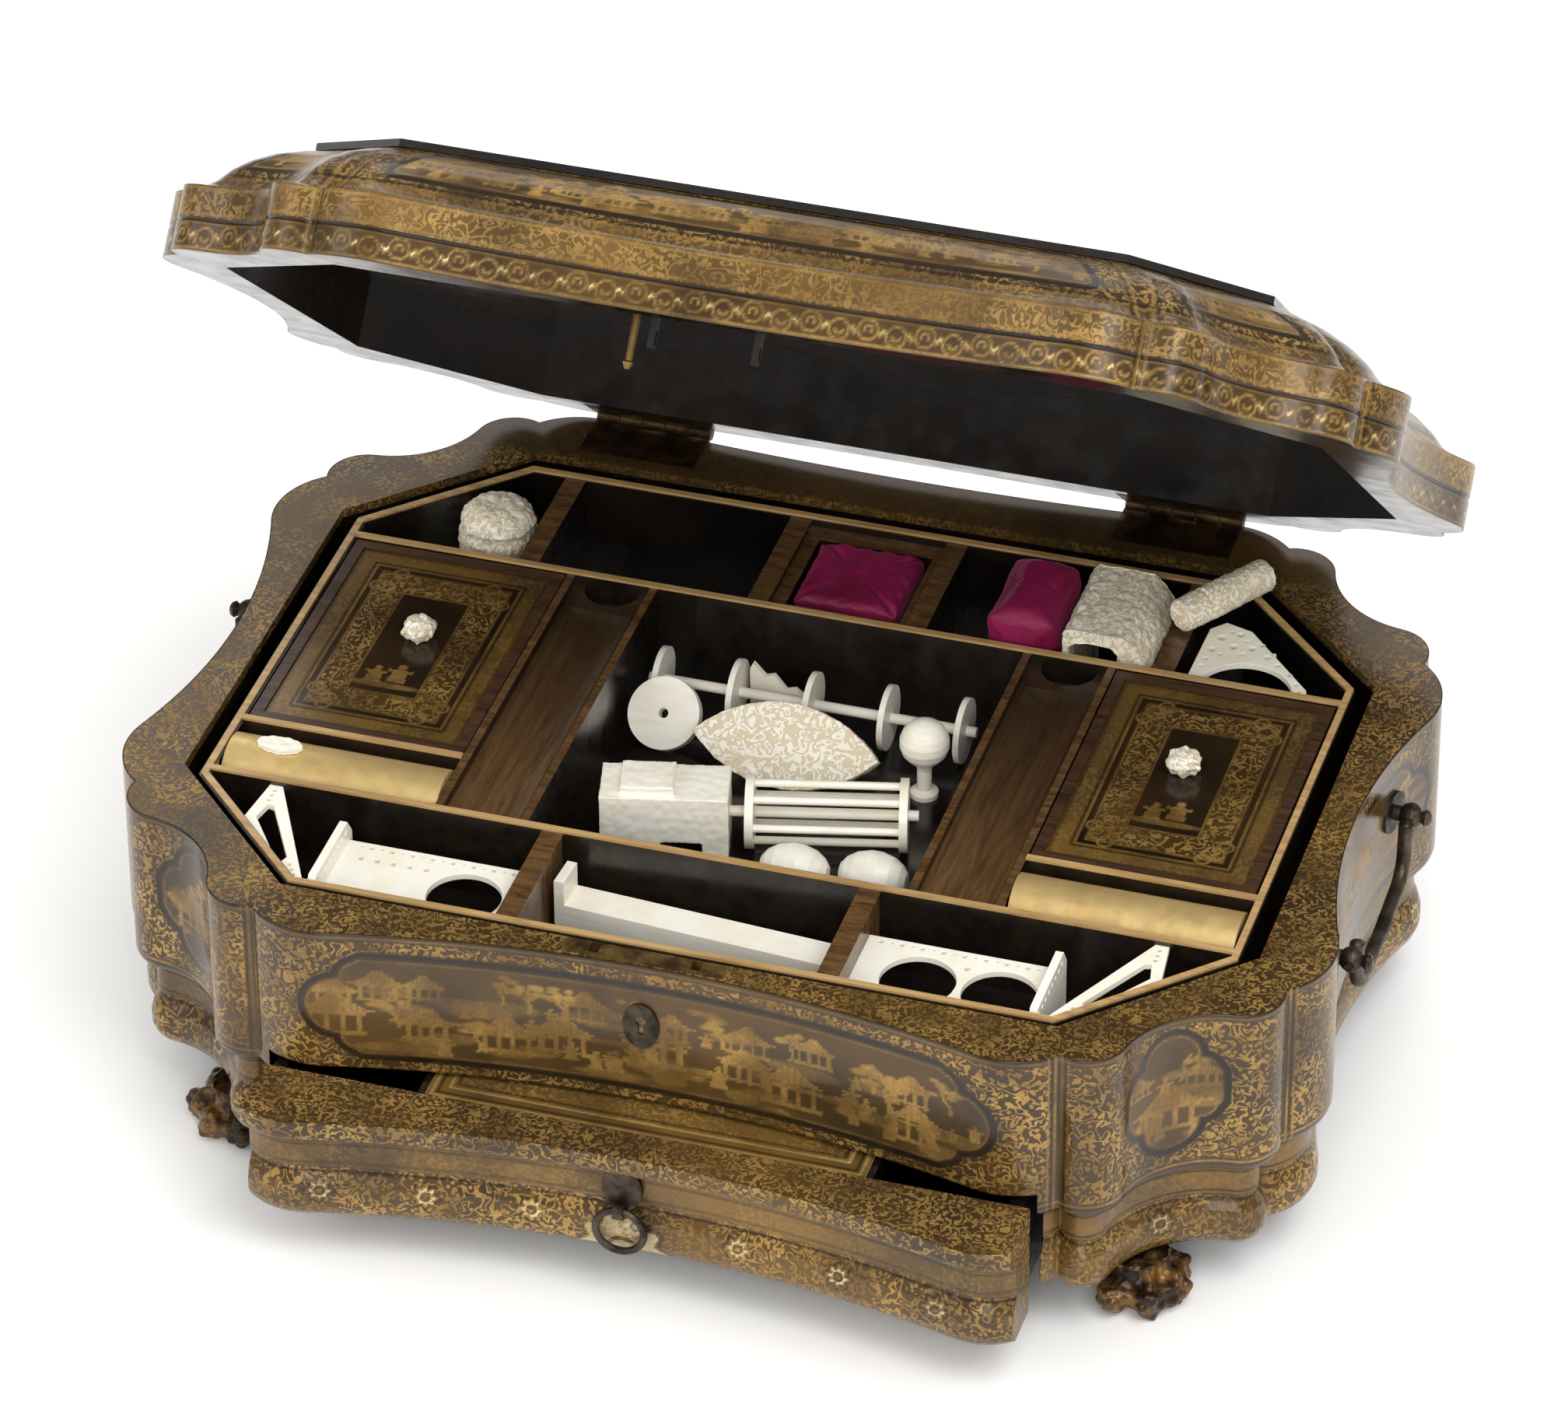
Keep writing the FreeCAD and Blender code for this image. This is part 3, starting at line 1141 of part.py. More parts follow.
def cushion_frame():
    """Sunk frame with a board under it, held between two cross dividers."""
    x0 = BACK_CROSS_X[1] + CROSS_THICK / 2
    x1 = BACK_CROSS_X[2] - CROSS_THICK / 2
    bed = cushion_bed_z()
    frame = block(x0, x1, REAR_ROW_Y, TRAY_BACK, bed - CUSHION_BOARD, TRAY_TOP - CUSHION_SINK)
    return frame.cut(block(CUSHION_X0, CUSHION_X1, CUSHION_Y0, CUSHION_Y1, bed, TRAY_TOP))


def pincushion():
    bed = cushion_bed_z()
    top = TRAY_TOP - CUSHION_SINK
    rise = CUSHION_CROWN
    sections = [(bed, 0.6), (bed + CUSHION_BED / 2, 0.3), (top - 1, 0.5), (top + rise * 0.35, 3.0),
                (top + rise * 0.75, 7.5), (top + rise, 13.0)]
    return rectangle_loft(sections, CUSHION_X0, CUSHION_X1, CUSHION_Y0, CUSHION_Y1)


def cushion_block():
    top = TRAY_TOP + BLOCK_RISE
    sections = [(TRAY_FLOOR_TOP, 1.2), (TRAY_FLOOR_TOP + 4, 0.3), (top - 5, 0.3), (top - 2, 1.4),
                (top - 0.6, 4.0), (top, 7.5)]
    return rectangle_loft(sections, BLOCK_X0, BLOCK_X1, BLOCK_Y0, BLOCK_Y1)


def corner_fret_front(side):
    """Three-sided fret lying across a front corner of the tray."""
    z0 = TRAY_TOP - FRET_SINK - FRET_THICK
    tip_y = ROW_BACK_Y
    line = TRAY_HALF_W + TRAY_HALF_D - TRAY_MID_Y - TRAY_CANT - TRAY_WALL * math.sqrt(2)
    far = TRAY_HALF_W - FRET_END
    foot = line + TRAY_FRONT
    outer = [(far, far - line), (far - 2, tip_y), (far - 6, tip_y), (foot - 2.5, TRAY_FRONT),
             (foot, TRAY_FRONT)]
    low = TRAY_FRONT + 10.2
    hole = [(far - 3.4, far - line + 1.5), (far - 4.8, tip_y - 9), (far - 6.6, tip_y - 9.5),
            (foot + 6, low), (foot + 7, low - 2.5), (foot + 11.5, low + 2)]
    fret = prism(outer, z0, z0 + FRET_THICK).cut(prism(hole, z0, z0 + FRET_THICK))
    return fret if side > 0 else fret.mirror(vec(0, 0, 0), vec(1, 0, 0))


def corner_fret_back():
    """Pierced fret in the back right corner, with a round arch over its front edge."""
    z0 = TRAY_TOP - FRET_SINK - FRET_THICK
    x0, y0 = CORNER_CROSS_X + BACK_FRET_IN, REAR_ROW_Y
    up = vec(0, 0, FRET_THICK)
    outer = [(x0, y0), (x0 + 37, y0), (x0 + 35.5, y0 + 4.5), (x0 + 13, y0 + 29), (x0 + 4.5, y0 + 31.5),
             (x0 + 0.5, y0 + 27)]
    fret = prism(outer, z0, z0 + FRET_THICK)
    middle = vec(x0 + 18, y0 - 1, z0)
    arch = rod(BACK_FRET_ARCH, middle, middle + up)
    holes = []
    for x, y in ((3.6, 17), (5, 23.5), (9.5, 20), (10, 26.5), (15, 20.5), (20.5, 17.5)):
        at = vec(x0 + x, y0 + y, z0)
        holes.append(rod(BACK_FRET_HOLE, at, at + up))
    return fret.cut([arch] + holes)


def spool_rack(side):
    """Bench in a front bay: a pierced shelf with a tall panel at its outer end."""
    inner = (-FRONT_CROSS_X[0] if side < 0 else FRONT_CROSS_X[1]) + CROSS_THICK / 2
    outer = inner + RACK_LENGTH
    back = TRAY_FRONT + RACK_DEEP
    top = TRAY_TOP - RACK_SINK
    shelf = block(inner, outer, TRAY_FRONT, back, top - FRET_THICK, top)
    holes = []
    for place in RACK_HOLES_LEFT if side < 0 else RACK_HOLES_RIGHT:
        at = vec(inner + place, TRAY_FRONT + RACK_HOLE_IN, top - FRET_THICK)
        holes.append(rod(RACK_HOLE_R, at, at + vec(0, 0, FRET_THICK)))
    panel = block(outer, outer + RACK_END, TRAY_FRONT, back + RACK_END, TRAY_FLOOR_TOP, TRAY_TOP - 1.0)
    rack = shelf.cut(holes).fuse(panel).removeSplitter()
    return rack if side > 0 else rack.mirror(vec(0, 0, 0), vec(1, 0, 0))


def tray_frets():
    return group([corner_fret_front(-1), corner_fret_front(1), corner_fret_back(),
                  spool_rack(-1), spool_rack(1)])


def bodkin_box():
    """Long narrow box lying askew in the middle front bay, with a tab standing at its left end."""
    half, wide = BODKIN_LENGTH / 2, BODKIN_WIDE / 2
    box = block(-half, half, -wide, wide, 0, BODKIN_HEIGHT)
    tab = block(-half, -half + BODKIN_TAB_THICK, -wide, wide, BODKIN_HEIGHT, BODKIN_HEIGHT + BODKIN_TAB)
    solid = box.fuse(tab).removeSplitter()
    solid.rotate(vec(0, 0, 0), vec(0, 0, 1), BODKIN_TURN)
    solid.translate(vec(sum(FRONT_CROSS_X) / 2, FRONT_DIVIDER_Y - BODKIN_BACK, TRAY_FLOOR_TOP))
    return solid


def round_box_base():
    r = BOX_R
    h = BOX_BASE_HEIGHT
    profile = [(0, r - 1.4), (1.5, r - 0.4), (3.5, r - 0.4), (5, r - 1.6), (h - 4, r - 1.6),
               (h - 2, r - 0.6), (h, r - 0.6)]
    body = turned(profile, vec(BOX_X, BOX_Y, TRAY_FLOOR_TOP))
    foot = vec(BOX_X, BOX_Y, TRAY_FLOOR_TOP)
    return body.cut(rod(r - 4.5, foot + vec(0, 0, 3), foot + vec(0, 0, h)))


def round_box_lid():
    r = BOX_R
    h = BOX_LID_HEIGHT
    profile = [(0, r), (3.6, r), (4.4, r - 1.0), (5.6, r - 1.0), (7.0, r - 0.3), (9.5, r - 1.5),
               (h - 1, r - 4.5), (h, r - 8.5)]
    z = TRAY_FLOOR_TOP + BOX_BASE_HEIGHT + RUN_GAP
    return turned(profile, vec(BOX_X, BOX_Y, z))


def needle_case():
    angle = math.radians(NEEDLE_ANGLE)
    near = vec(TRAY_HALF_W - NEEDLE_SIDE, TRAY_BACK - NEEDLE_BACK, TRAY_TOP + NEEDLE_R + 0.1)
    length = NEEDLE_LENGTH
    r = NEEDLE_R
    profile = [(0, r - 1.6), (1.0, r - 0.3), (9, r), (9.4, r - 0.5), (10, r - 0.5), (10.4, r),
               (length - 1, r - 0.2), (length, r - 1.2)]
    return turned(profile, near, vec(math.cos(angle), math.sin(angle), 0))


def clamp_body():
    """Bench clamp standing in its bay: a thin leg, a mouth and a thick arm under one head."""
    left, right = CLAMP_X + CLAMP_LEG, CLAMP_X + CLAMP_WIDE - CLAMP_ARM
    soft, top, mouth = CLAMP_ROUND, CLAMP_HEIGHT, CLAMP_MOUTH
    far = CLAMP_X + CLAMP_WIDE
    section = [(CLAMP_X, 0), (left, 0), (left, mouth - soft / 2), (left + soft / 2, mouth),
               (right - soft / 2, mouth), (right, mouth - soft / 2), (right, 0), (far, 0),
               (far, top - 2.5 * soft), (far - soft, top - soft), (far - 2 * soft, top),
               (CLAMP_X + soft / 2, top), (CLAMP_X, top - soft / 2)]
    corners = [vec(x, CLAMP_Y0, TRAY_FLOOR_TOP + h) for x, h in section]
    return Part.Face(Part.makePolygon(corners + corners[:1])).extrude(vec(0, CLAMP_Y1 - CLAMP_Y0, 0))


def spindle_winder():
    z = TRAY_FLOOR_TOP + ROD_DISC_R
    left = vec(*ROD_LEFT, z)
    right = vec(*ROD_RIGHT, z)
    along = (right - left).normalize()
    length = (right - left).Length
    margin = 3.0
    step = (length - 2 * margin - ROD_DISC_THICK) / (ROD_DISCS - 1)
    pieces = []
    for k in range(ROD_DISCS):
        start = left + along * (margin + k * step)
        pieces.append(rod(ROD_DISC_R, start, start + along * ROD_DISC_THICK))
    return rod(ROD_R, left, right).fuse(pieces)


def leaning(shape, x, y, half):
    """Tip a flat piece up about the X axis, its low edge just over the tray's floor."""
    shape.rotate(vec(0, 0, 0), vec(1, 0, 0), LEAN)
    lift = half * math.sin(math.radians(LEAN)) + SHUTTLE_THICK / 2 * math.cos(math.radians(LEAN))
    shape.translate(vec(x, y, TRAY_FLOOR_TOP + lift))
    return shape


def shuttle():
    """Pointed oval netting shuttle leaning on the spindle's discs."""
    half_l, half_w = SHUTTLE_HALF_L, SHUTTLE_HALF_W
    radius = (half_l ** 2 + half_w ** 2) / (2 * half_w)
    height = SHUTTLE_THICK
    upper = Part.makeCylinder(radius, height, vec(0, half_w - radius, -height / 2))
    lower = Part.makeCylinder(radius, height, vec(0, radius - half_w, -height / 2))
    return leaning(upper.common(lower), SHUTTLE_X, SHUTTLE_Y, half_w)


def flat_winders():
    disc = rod(DISC_R, vec(0, 0, -DISC_THICK / 2), vec(0, 0, DISC_THICK / 2))
    disc = disc.cut(rod(1.5, vec(0, 0, -DISC_THICK), vec(0, 0, DISC_THICK)))
    disc = leaning(disc, DISC_X, DISC_Y, DISC_R)
    left = vec(*LEAF_LEFT, TRAY_FLOOR_TOP)
    right = vec(*LEAF_RIGHT, TRAY_FLOOR_TOP)
    length = (right - left).Length
    section = [(0, 0), (1, 0), (1, 7), (0.75, 10.5), (0.6, 9.5), (0.4, 14), (0.25, 13), (0.05, 17), (0, 15)]
    corners = [vec(share * length, 0, h) for share, h in section]
    leaf = Part.Face(Part.makePolygon(corners + corners[:1])).extrude(vec(0, LEAF_PLATE_THICK, 0))
    leaf.rotate(vec(0, 0, 0), vec(0, 0, 1), math.degrees(math.atan2(right.y - left.y, right.x - left.x)))
    leaf.translate(left)
    return group([disc, leaf])


def turned_tools():
    """A ball-headed tool standing up, and two small barrels lying along the front divider."""
    r = POST_TOOL_BALL
    h = POST_TOOL_HEIGHT
    neck = h - 2 * r
    profile = [(0, 4.2), (1.5, 4.2), (2.5, 2.2), (neck - 2, 2.2), (neck, 2.8)]
    for k in range(1, 8):
        angle = math.radians(-65 + k * 19)
        profile.append((neck + r + r * math.sin(angle), r * math.cos(angle)))
    profile.append((h, 0.8))
    tools = [turned(profile, vec(*POST_TOOL, TRAY_FLOOR_TOP))]
    length = 2 * BARREL_HALF_L
    ends = [(0.0, 0.35), (0.08, 0.62), (0.22, 0.86), (0.42, 1.0), (0.58, 1.0), (0.78, 0.86),
            (0.92, 0.62), (1.0, 0.35)]
    profile = [(share * length, BARREL_R * wide) for share, wide in ends]
    for x, y in BARREL_AT:
        start = vec(x - BARREL_HALF_L, y, TRAY_FLOOR_TOP + BARREL_R)
        tools.append(turned(profile, start, vec(1, 0, 0)))
    return group(tools)


def reel_axis():
    """Start of the reel, and its direction."""
    angle = math.radians(REEL_ANGLE)
    return vec(*REEL_START, REEL_Z), vec(math.cos(angle), math.sin(angle), 0)


def cage_reel():
    """Winding cage: two discs, bars between them, and an axle that runs into the clamp block."""
    start, along = reel_axis()
    far = start + along * REEL_LENGTH
    pieces = [rod(REEL_DISC_R, start, start + along * REEL_DISC_THICK),
              rod(REEL_DISC_R, far - along * REEL_DISC_THICK, far)]
    across = vec(-along.y, along.x, 0)
    for k in range(REEL_BARS):
        angle = 2 * math.pi * k / REEL_BARS
        offset = across * (REEL_BAR_CIRCLE * math.cos(angle))
        offset += vec(0, 0, REEL_BAR_CIRCLE * math.sin(angle))
        pieces.append(rod(REEL_BAR_R, start + offset, far + offset))
    axle = rod(REEL_AXLE_R, start - along * (BLOCK_GAP + REEL_STUB), far + along * REEL_TIP)
    return axle.fuse(pieces)


def clamp_block():
    """Block that carries the reel's axle, standing on the tray's floor in the well."""
    start, _ = reel_axis()
    x1 = -BLOCK_GAP
    x0 = x1 - CLAMP_BLOCK_LENGTH
    half = CLAMP_BLOCK_DEEP / 2
    z0 = TRAY_FLOOR_TOP - REEL_Z
    body = block(x0, x1, -half, half, z0, z0 + CLAMP_BLOCK_HEIGHT)
    top = z0 + CLAMP_BLOCK_HEIGHT
    body = body.fuse(block(x0 + 6, x0 + 22, -half + 2, half - 2, top, top + 2.5))
    jaw = block(x1 - 20, x1 - 8, -half, half, z0, z0 + 6)
    bore = rod(REEL_AXLE_R + REEL_AXLE_GAP, vec(x1 - REEL_STUB - 0.5, 0, 0), vec(x1 + 1, 0, 0))
    body = body.cut([jaw, bore]).removeSplitter()
    body.rotate(vec(0, 0, 0), vec(0, 0, 1), REEL_ANGLE)
    body.translate(start)
    return body


PIECES = {
    "base_moulding": base_moulding,
    "belt_band": belt_band,
    "case_walls": case_walls,
    "case_rim": case_rim,
    "base_board": base_board,
    "drawer_guides": drawer_guides,
    "dust_board": dust_board,
    "tray_ledge": tray_ledge,
    "feet": feet,
    "escutcheon": escutcheon,
    "lock_case": lock_case,
    "lock_plate": lock_plate,
    "lock_bolt": lock_bolt,
    "handle_posts": handle_posts,
    "bail_left": lambda: bail(-1),
    "bail_right": lambda: bail(1),
    "hinge_leaves_case": hinge_leaves_case,
    "hinge_pins": hinge_pins,
    "hinge_leaves_lid": hinge_leaves_lid,
    "lid_frame": lid_frame,
    "lid_crown": lid_crown,
    "lid_top_board": lid_top_board,
    "lid_lining": lid_lining,
    "lid_peg": lid_peg,
    "lid_link_plate": lid_link_plate,
    "drawer_front": drawer_front,
    "drawer_sides": drawer_sides,
    "drawer_floor": drawer_floor,
    "drawer_partitions": drawer_partitions,
    "writing_board": writing_board,
    "pull_plate": pull_plate,
    "pull_ring": pull_ring,
    "tray_floor": tray_floor,
    "tray_walls": tray_walls,
    "tray_edging": tray_edging,
    "tray_dividers": tray_dividers,
    "troughs": troughs,
    "bin_lid_left": lambda: bin_lid(-1),
    "bin_lid_right": lambda: bin_lid(1),
    "bin_knob_left": lambda: bin_knob(-1),
    "bin_knob_right": lambda: bin_knob(1),
    "roll_cover_left": lambda: roll_cover(-1),
    "roll_cover_right": lambda: roll_cover(1),
    "roll_button": roll_button,
    "cushion_frame": cushion_frame,
    "pincushion": pincushion,
    "cushion_block": cushion_block,
    "tray_frets": tray_frets,
    "bodkin_box": bodkin_box,
    "round_box_base": round_box_base,
    "round_box_lid": round_box_lid,
    "needle_case": needle_case,
    "clamp_body": clamp_body,
    "spindle_winder": spindle_winder,
    "shuttle": shuttle,
    "flat_winders": flat_winders,
    "turned_tools": turned_tools,
    "cage_reel": cage_reel,
    "clamp_block": clamp_block,
}

os.makedirs("parts", exist_ok=True)
for name, make in PIECES.items():
    shape = make()
    shape.exportStep(f"parts/{name}.step")
    box = shape.BoundBox
    print(f"{name}: {len(shape.Solids)} solids, valid {shape.isValid()}, volume {shape.Volume:.0f}, "
          f"x {box.XMin:.1f} to {box.XMax:.1f}, y {box.YMin:.1f} to {box.YMax:.1f}, "
          f"z {box.ZMin:.1f} to {box.ZMax:.1f}")
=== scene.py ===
import functools
import math

import bmesh
import bpy
import numpy as np
from mathutils import Matrix, Vector

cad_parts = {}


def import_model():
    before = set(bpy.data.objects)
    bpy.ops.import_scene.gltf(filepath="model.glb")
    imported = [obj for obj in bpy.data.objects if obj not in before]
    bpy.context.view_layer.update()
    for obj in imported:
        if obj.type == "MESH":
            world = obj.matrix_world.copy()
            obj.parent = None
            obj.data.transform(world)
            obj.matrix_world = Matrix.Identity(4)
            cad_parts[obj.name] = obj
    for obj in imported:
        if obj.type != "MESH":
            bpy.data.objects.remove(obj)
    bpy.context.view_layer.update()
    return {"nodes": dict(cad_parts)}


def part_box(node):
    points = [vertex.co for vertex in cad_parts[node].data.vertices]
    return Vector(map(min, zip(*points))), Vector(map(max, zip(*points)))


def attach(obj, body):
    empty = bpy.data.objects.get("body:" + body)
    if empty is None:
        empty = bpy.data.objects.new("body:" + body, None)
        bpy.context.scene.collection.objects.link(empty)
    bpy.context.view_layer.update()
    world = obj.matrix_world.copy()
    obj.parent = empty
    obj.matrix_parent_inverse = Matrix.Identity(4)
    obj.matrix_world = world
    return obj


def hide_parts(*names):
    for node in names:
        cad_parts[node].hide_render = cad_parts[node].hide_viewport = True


# Looks for the lacquered sewing box. Lengths are millimetres in the part's own frame.
MM = 0.001
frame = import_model()
nodes = frame["nodes"]

# Sizes of the solids that the painted skins follow
CASE_WIDTH, CASE_DEPTH, BACK_EXTRA = 363.2, 269.0, 3.5
SHOULDER_R, CANT_R = 24.0, 12.0
LONG_X, END_Y = 102.0, 61.3
LONG_HOLLOW, BACK_HOLLOW, END_HOLLOW, CANT_HOLLOW = 12.3, 5.0, 10.4, 7.8
CANT_SPREAD, CANT_OUT = 24.4, 18.8
BASE_Z, BAND_Z, WALL_Z, RIM_TOP = 16.2, 32.8, 43.5, 102.0
OVOLO = 5.0
DRAWER_TOP, DRAWER_GAP_TOP = 53.5, 54.2
DRAWER_HALF_W, DRAWER_GAP_HALF_W, DRAWER_OUT = 114.0, 114.5, 26.0
DRAWER_BACK_FACE = 110.9
HINGE_Y, HINGE_Z, LID_OPEN = 140.0, 102.2, 41.6
LID_Z, CROWN_Z, LID_TOP_Z, LID_TOP_THICK = 102.4, 121.4, 139.4, 2.2
TOP_HALF_W, TOP_HALF_D, TOP_CANT, TOP_MID_Y = 139.7, 107.45, 35.3, 1.75

SKIN = 0.14                 # how far painted skins stand off the solids
SKIN_THICK = 0.3
GRID = 0.7                  # spacing of a painted skin's points
PALE = 1.0                  # painted gold at full strength is the pale kind
FULL = 0.9                  # strength of the usual painted gold


# Outline of the case

def case_sides():
    """Eight sides round the case: two shoulder centres, shoulder radius and hollow."""
    a = np.array([LONG_X, CASE_DEPTH / 2 - SHOULDER_R])
    b = np.array([CASE_WIDTH / 2 - SHOULDER_R, END_Y])
    along = (b - a) / np.linalg.norm(b - a)
    outward = np.array([-along[1], along[0]])
    middle = (a + b) / 2 + outward * CANT_OUT
    c, d = middle - along * CANT_SPREAD, middle + along * CANT_SPREAD
    spot = lambda p, x, y: np.array([p[0] * x, p[1] * y + (BACK_EXTRA if y > 0 else 0)])
    front, end, cant = (SHOULDER_R, LONG_HOLLOW), (SHOULDER_R, END_HOLLOW), (CANT_R, CANT_HOLLOW)
    return [(spot(a, -1, -1), spot(a, 1, -1), *front), (spot(c, 1, -1), spot(d, 1, -1), *cant),
            (spot(b, 1, -1), spot(b, 1, 1), *end), (spot(d, 1, 1), spot(c, 1, 1), *cant),
            (spot(a, 1, 1), spot(a, -1, 1), SHOULDER_R, BACK_HOLLOW), (spot(c, -1, 1), spot(d, -1, 1), *cant),
            (spot(b, -1, 1), spot(b, -1, -1), *end), (spot(d, -1, -1), spot(c, -1, -1), *cant)]


def outer_meeting(a, ra, b, rb):
    """Where two circles meet, on the side away from the middle of the case."""
    gap = np.linalg.norm(b - a)
    along = (b - a) / gap
    reach = (gap ** 2 + ra ** 2 - rb ** 2) / (2 * gap)
    across = np.array([-along[1], along[0]]) * math.sqrt(max(0.0, ra ** 2 - reach ** 2))
    foot = a + along * reach
    return max(foot + across, foot - across, key=lambda p: float(p @ p))


def arc_points(centre, radius, start, end, count):
    """Points on the short arc from start to end."""
    a0 = math.atan2(*(start - centre)[::-1])
    a1 = math.atan2(*(end - centre)[::-1])
    turn = (a1 - a0 + math.pi) % (2 * math.pi) - math.pi
    angles = a0 + turn * np.linspace(0, 1, count)
    return centre + radius * np.stack([np.cos(angles), np.sin(angles)], 1)


def outline(inset=0.0, spacing=GRID):
    """One array of points for each side, from notch to notch, drawn in by inset."""
    sides = case_sides()
    meets = [outer_meeting(p[1], p[2] - inset, q[0], q[2] - inset)
             for p, q in zip(sides, sides[1:] + sides[:1])]
    result = []
    for k, (first, second, r, hollow) in enumerate(sides):
        along = (second - first) / np.linalg.norm(second - first)
        outward = np.array([along[1], -along[0]])
        half = np.linalg.norm(second - first) / 2
        hollow_r = half ** 2 / (2 * hollow) - r + hollow / 2
        far = (first + second) / 2 + outward * (r - hollow + hollow_r)
        unit = lambda p: (far - p) / np.linalg.norm(far - p)
        leave = first + unit(first) * (r - inset)
        meet = second + unit(second) * (r - inset)
        shoulder = max(4, int(r * 1.4 / spacing))
        waist = max(8, int(2 * half / spacing))
        parts = [arc_points(first, r - inset, meets[k - 1], leave, shoulder)[:-1],
                 arc_points(far, hollow_r + inset, leave, meet, waist)[:-1],
                 arc_points(second, r - inset, meet, meets[k], shoulder)]
        result.append(np.concatenate(parts))
    return result


def octagon(half_w, half_d, cant, mid_y=0.0):
    right_half = [(half_w - cant, -half_d), (half_w, -half_d + cant),
                  (half_w, half_d - cant), (half_w - cant, half_d)]
    middle = np.array([0.0, mid_y])
    return [middle + p for p in right_half] + [middle - p for p in right_half]


def on_octagon(sides, corners):
    """Each side's points moved to the same share of an octagon's side."""
    result = []
    for k, points in enumerate(sides):
        chord = points[-1] - points[0]
        share = (points - points[0]) @ chord / (chord @ chord)
        result.append(corners[k - 1] + np.outer(share, corners[k] - corners[k - 1]))
    return result


# Painting: masks over a surface's own millimetres

def soft(d, width=0.5):
    """1 where d is below 0, 0 above width, smooth between."""
    return np.clip(0.5 - d / width, 0, 1)


def line(d, half=0.35):
    return soft(np.abs(d) - half)


def gilded(gold, *lines):
    """The gold mask with lines of painted gold added, each a distance and a half width."""
    for d, half in lines:
        gold = np.maximum(gold, line(d, half) * FULL)
    return gold


def disc(u, v, x, y, a, b):
    return soft((np.hypot((u - x) / a, (v - y) / b) - 1) * min(a, b))


def rounded(u, v, a, b, r):
    """Signed distance from a rounded rectangle's edge."""
    x, y = np.abs(u) - a + r, np.abs(v) - b + r
    return np.hypot(np.maximum(x, 0), np.maximum(y, 0)) + np.minimum(np.maximum(x, y), 0) - r


def lobed(u, v, a, b):
    """Signed distance, roughly, from a cartouche with cusped lobes at its ends."""
    d = rounded(u, v, a - b * 0.75, b, b * 0.25)
    ends = np.abs(u)
    far, near, r = a - b * 0.62, a - b * 0.95, b * 0.42
    for x, y, r in ((far, 0, b * 0.62), (near, b * 0.52, r), (near, -b * 0.52, r)):
        d = np.minimum(d, np.hypot(ends - x, v - y) - r)
    return d


def pavilion(u, v, x, y, size):
    """Open hall: posts, rails and a roof with upturned eaves."""
    u, v = (u - x) / size, (v - y) / size
    body = (np.abs(u) < 0.8) & (v > 0) & (v < 0.75)
    rails = (np.abs(v - 0.1) < 0.06) | (np.abs(v - 0.68) < 0.06)
    posts = body & ((np.abs((u * 2.5) % 1 - 0.5) < 0.17) | rails)
    rise = (v - 0.75) / 0.55
    eave = 1.15 - 1.0 * np.sqrt(np.clip(rise, 0, 1)) + 0.18 * np.clip(0.3 - rise, 0, 1)
    roof = (rise > 0) & (rise < 1) & (np.abs(u) < eave)
    ribs = 0.7 + 0.3 * (np.abs((u * 6) % 1 - 0.5) > 0.2)
    return np.maximum(posts * 0.95, roof * ribs)


def figure(u, v, x, y, size):
    """Plain silhouette in a robe."""
    u, v = (u - x) / size, (v - y) / size
    robe = (v > 0) & (v < 0.75) & (np.abs(u) < 0.34 - 0.22 * v)
    head = np.hypot(u, v - 0.88) < 0.13
    arms = (np.abs(v - 0.55 - 0.25 * np.abs(u)) < 0.07) & (np.abs(u) < 0.42)
    return (robe | head | arms) * 1.0


def tree(u, v, x, y, size, rng):
    """Leaning, winding trunk under a few flat clouds of leaves."""
    lean = rng.uniform(-0.35, 0.35)
    bent = u - x - lean * (v - y) - 0.08 * size * np.sin((v - y) / size * 7)
    mask = ((np.abs(bent) < 0.06 * size) & (v > y) & (v < y + size)) * 0.9
    for _ in range(7):
        cx = x + lean * size + rng.uniform(-0.55, 0.55) * size
        cy = y + size * rng.uniform(0.6, 1.15)
        wide, tall = size * rng.uniform(0.14, 0.26), size * rng.uniform(0.07, 0.13)
        mask = np.maximum(mask, disc(u, v, cx, cy, wide, tall))
    return mask


def landscape(u, v, half_w, half_h, seed):
    """Garden scene in gold: patches of ground, then two rows of halls, trees and small silhouettes."""
    rng = np.random.default_rng(seed)
    gold = np.zeros_like(u)
    for _ in range(int(half_w / 2.2) + 4):
        x, y = rng.uniform(-half_w, half_w), rng.uniform(-0.95, 0.35) * half_h
        strength = rng.uniform(0.3, 0.6)
        gold = np.maximum(gold, strength * disc(u, v, x, y, rng.uniform(4, 12), rng.uniform(0.8, 2.4)))
    for low, high, share in ((-0.05, 0.2, 0.5), (-0.75, -0.35, 0.72)):
        x = -half_w + 4
        while x < half_w - 4:
            kind = rng.random()
            base = rng.uniform(low, high) * half_h
            size = min(rng.uniform(0.7, 1.1) * share * half_h, 15)
            if kind < 0.4:
                gold = np.maximum(gold, pavilion(u, v, x, base, size * 0.85))
                x += size * 1.2
            elif kind < 0.7:
                gold = np.maximum(gold, tree(u, v, x, base, size, rng))
                x += size * 0.6
            else:
                gold = np.maximum(gold, figure(u, v, x, base - 0.1 * half_h, min(size * 0.7, 8)))
                x += size * 0.4
            x += rng.uniform(0.3, 2.5)
    for _ in range(int(half_w / 6) + 1):
        x, y = rng.uniform(-half_w, half_w), rng.uniform(-0.95, -0.3) * half_h
        gold = np.maximum(gold, 0.9 * figure(u, v, x, y, rng.uniform(5, 7)))
    return gold


# Paint is four masks: gold, scrollwork, gilt ground and ink. A painter of a case side gets the side's number,
# the points' places along it and up it, and half its length.

